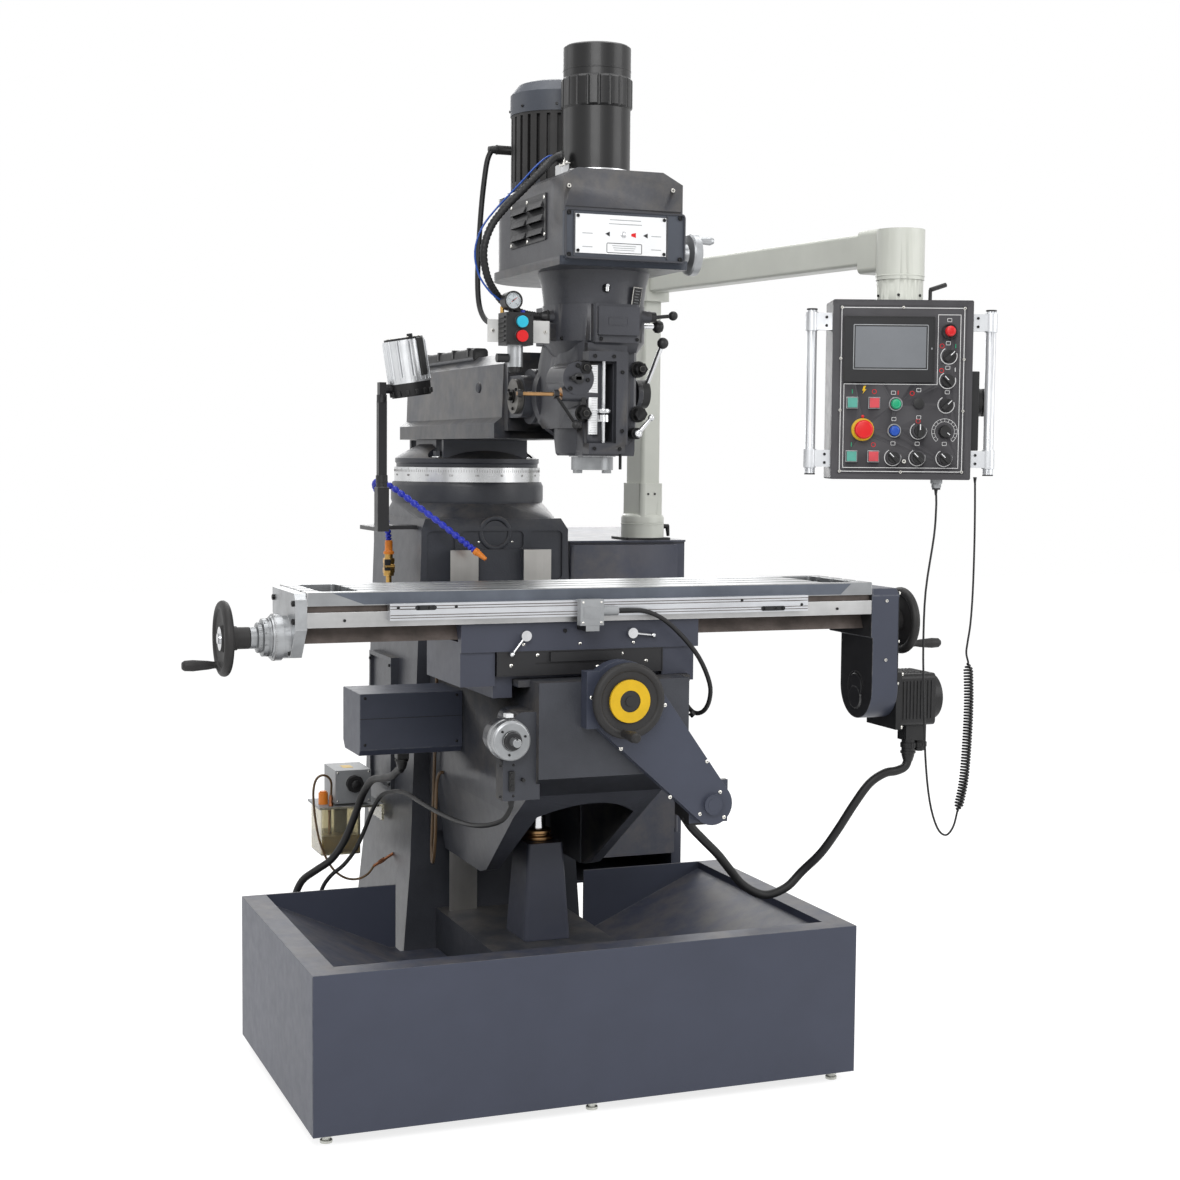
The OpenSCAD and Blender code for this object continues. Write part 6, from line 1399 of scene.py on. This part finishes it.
# cabinet: gaps round the door and lid, hinges, screws and louvres; seam ring on the arm's post; tray's welds and drain
cabinetParts = {"hinges": (480, 1060), "screws": [(566, y, z) for y in (340, 700) for z in (360, 1120)], "louvres": 7,
                "lean": -0.42}
trayParts = {"welds": (-621.5, 621.5), "drain": (621, -180, 90)}
stand.slab((538.4, 545.4), (299.2, 300.4), (372, 1176), "markBlack", 0)
stand.slab((246, 565), (299.4, 300.3), (1181, 1183.4), "markBlack", 0)
for z in cabinetParts["hinges"]:
    stand.rod((541.5, 296, z - 28), (541.5, 296, z + 28), 5, "blackSteelAndShade", bevel=0.8, sides=24)
screws(stand, cabinetParts["screws"], rightward, 5, "boltBlack")
for k in range(cabinetParts["louvres"]):
    place = Matrix.Translation((567.4, 520, 930 + 18 * k)) @ Matrix.Rotation(cabinetParts["lean"], 4, "Y")
    stand.slab((-1, 1), (-70, 70), (-5.5, 5.5), "greyPaint", 0.8, place=place)
stand.turned([(56, 0), (57, 0.8), (57, 3), (56, 3.8)], "postPaint", at=(466, 349, 1229.6), sides=64)
for x in trayParts["welds"]:
    stand.slab((x - 0.5, x + 0.5), (-541, -539.6), (62, 356), "trayPaint", 0.2)
stand.turned([(0, 0), (16, 0), (16, 6), (11, 8), (11, 14), (0, 14)], "footZinc", at=trayParts["drain"], direction=rightward,
             sides=6)

# lubricator: oil, filter, pickup tube, level marks, dial and screws
oiler = {
    "oil": ((-378.4, -283.6), (395.6, 506.4), (401.4, 446)), "filter": (-318, 455), "dial": (-298, 578),
    "screws": [(x, 392, z) for x in (-340, -260) for z in (534, 606)], "marks": (440, 480), "bracketBolts": (404, 500),
}
stand.slab(*oiler["oil"], "oil", 1)
x, y = oiler["filter"]
stand.rod((x, y, 404), (x, y, 512), 17, "blackSteelAndShade", bevel=1.5)
stand.rod((x, y, 404), (x, y, 430), 21, "oldIronAndShade", bevel=1.5)
stand.rod((-352, 430, 410), (-352, 430, 514), 4, "copper", bevel=0.5, sides=20)
x, z = oiler["dial"]
stand.turned([(0, 0), (9, 0), (11, 2), (11, 9), (8, 11), (0, 11)], "blackPlastic", at=(x, 376, z), direction=ahead, sides=28)
knurl(stand, None, None, 8, 18.6, 22, 3, -12, -1, "blackPlastic", 0.8, place=facing(ahead, (x, 377, z)))
screws(stand, oiler["screws"], ahead, 2.8, "screwZinc", "pan")
stand.slab((-316, -290), (430, 470), (611.8, 612.4), "yellow", 0.1)
for z in oiler["marks"]:
    stand.slab((-366, -352), (397.6, 398.2), (z, z + 1), "markBlack", 0)
stand.rod((-368, 432, 552), (-368, 432, 556), 9, "nozzleOrange", bevel=1.4)
for y in oiler["bracketBolts"]:
    stand.rod((-222, y, 494), (-216, y, 494), 6, "screwZinc", sides=6, bevel=0.6)
stand.done("casting")

# pendant's arm: post screws and the seam at the elbow
armParts = {"postScrews": [(466 + x, 300 + 0.18 * x, 1310) for x in (-6, 14)], "elbow": (644.8, -634.88, 1797)}
arm = Piece("armDetail", "arm")
screws(arm, armParts["postScrews"], (0.1, -1, 0), 2.8, "boltBlack")
arm.turned([(52, 0), (53, 0.8), (53, 2.6), (52, 3.4)], "postPaint", at=armParts["elbow"], sides=64)
arm.done("warm_grey")

# work light: bezel teeth, lens and lamps, cooling ribs, end cap and cable gland
lampParts = {"teeth": 14, "ribs": 24, "lampReach": 24, "capScrews": 38}
light = Piece("lightDetail", "lamp")
knurl(light, None, None, lampParts["teeth"], 42, 51, 4.4, -3, 10, "blackPlastic", 2, first=0.5, place=lampPlace)
light.turned([(0, -1.2), (39, -1.2), (39, 1.4), (0, 1.4)], "blackPlastic", sides=48, place=lampPlace)
for k, turn in enumerate(around(6) + [math.tau]):
    reach = 0 if k == 6 else lampParts["lampReach"]
    place = lampPlace @ Matrix.Rotation(turn, 4, "Z") @ Matrix.Translation((reach, 0, 0))
    light.turned([(0, -4.4), (5, -4), (8.4, -2.4), (10, -0.8), (0, -0.8)], "lens", sides=28, place=place)
    light.turned([(10, -0.9), (11, -2.6), (12, -0.9)], "screwZinc", sides=28, place=place)
knurl(light, None, None, lampParts["ribs"], 49.4, 51.2, 1.1, 30, 122, "lampAlloy", 0.5, first=0.25, place=lampPlace)
light.slab((-9, 9), (-56, -46), (40, 128), "blackPlastic", 2, place=lampPlace @ Matrix.Rotation(0.5, 4, "Z"))
light.rod((20, 12, 131), (20, 12, 140), 7, "blackPlastic", bevel=1.2, sides=24, place=lampPlace)
reach = lampParts["capScrews"]
screws(light, [(reach * math.cos(t + 0.5), reach * math.sin(t + 0.5), 131) for t in around(6)], upward, 2.6, place=lampPlace)
light.done("lamp_alloy")
print("table, knee, column and light detailed")


# floor, world and lights
studio = {
    "floor": 30.0, "matte": 0.8, "glow": 0.8, "thin": 0.4, "ambient": 0.55, "aim": (0, -0.1, 1.1),
    # lamps: place in metres, size, power
    "lamps": {"key": ((-1.7, -4.0, 3.4), 2.4, 105), "fill": ((3.2, -2.8, 2.4), 2.2, 50), "above": ((0.2, -0.2, 4.4), 2.6, 60),
              "behind": ((1.2, 3.6, 3.0), 2.4, 60), "leftBack": ((-3.4, 1.8, 2.6), 2.0, 16)},
}


def buildStudio():
    shape = bmesh.new()
    bmesh.ops.create_grid(shape, x_segments=1, y_segments=1, size=studio["floor"] / 2)
    mesh = bpy.data.meshes.new("floor")
    shape.to_mesh(mesh)
    shape.free()
    floor = bpy.data.objects.new("floor", mesh)
    bpy.context.collection.objects.link(floor)
    material = bpy.data.materials.new("floorPale")
    material.use_nodes = True
    tree = material.node_tree
    tree.nodes.clear()
    out = addNode(tree, "OutputMaterial")
    matte = addNode(tree, "BsdfDiffuse", Color=(studio["matte"],) * 3 + (1,))
    glow = addNode(tree, "Emission", Color=(1, 1, 1, 1), Strength=studio["glow"])
    both, choice, seen = addNode(tree, "AddShader"), addNode(tree, "MixShader"), addNode(tree, "LightPath")
    thin = addNode(tree, "BsdfDiffuse", Color=(studio["thin"],) * 3 + (1,))
    tree.links.new(thin.outputs[0], both.inputs[0])
    tree.links.new(glow.outputs[0], both.inputs[1])
    shows = mathNode(tree, "MAXIMUM", seen.outputs["Is Camera Ray"], seen.outputs["Is Glossy Ray"])
    shows = mathNode(tree, "MAXIMUM", shows, seen.outputs["Is Transmission Ray"])
    tree.links.new(shows, choice.inputs[0])
    tree.links.new(matte.outputs[0], choice.inputs[1])
    tree.links.new(both.outputs[0], choice.inputs[2])
    tree.links.new(choice.outputs[0], out.inputs[0])
    mesh.materials.append(material)

    world = bpy.data.worlds.new("paleStudio")
    bpy.context.scene.world = world
    world.use_nodes = True
    tree = world.node_tree
    back = next(n for n in tree.nodes if n.type == "BACKGROUND")
    back.inputs["Color"].default_value = (1, 1, 1, 1)
    seen = addNode(tree, "LightPath")
    shows = mathNode(tree, "MAXIMUM", seen.outputs["Is Camera Ray"], seen.outputs["Is Glossy Ray"])
    shows = mathNode(tree, "MAXIMUM", shows, seen.outputs["Is Transmission Ray"])
    strength = mathNode(tree, "MULTIPLY_ADD", shows, 1 - studio["ambient"])
    tree.nodes[-1].inputs[2].default_value = studio["ambient"]
    tree.links.new(strength, back.inputs["Strength"])

    for name, (spot, size, power) in studio["lamps"].items():
        data = bpy.data.lights.new(name, "AREA")
        data.size, data.energy = size, power
        lamp = bpy.data.objects.new(name, data)
        lamp.location = spot
        lamp.rotation_euler = (Vector(studio["aim"]) - Vector(spot)).to_track_quat("-Z", "Y").to_euler()
        bpy.context.collection.objects.link(lamp)


buildStudio()
bpy.context.scene.view_settings.view_transform = "Standard"
print("studio set")
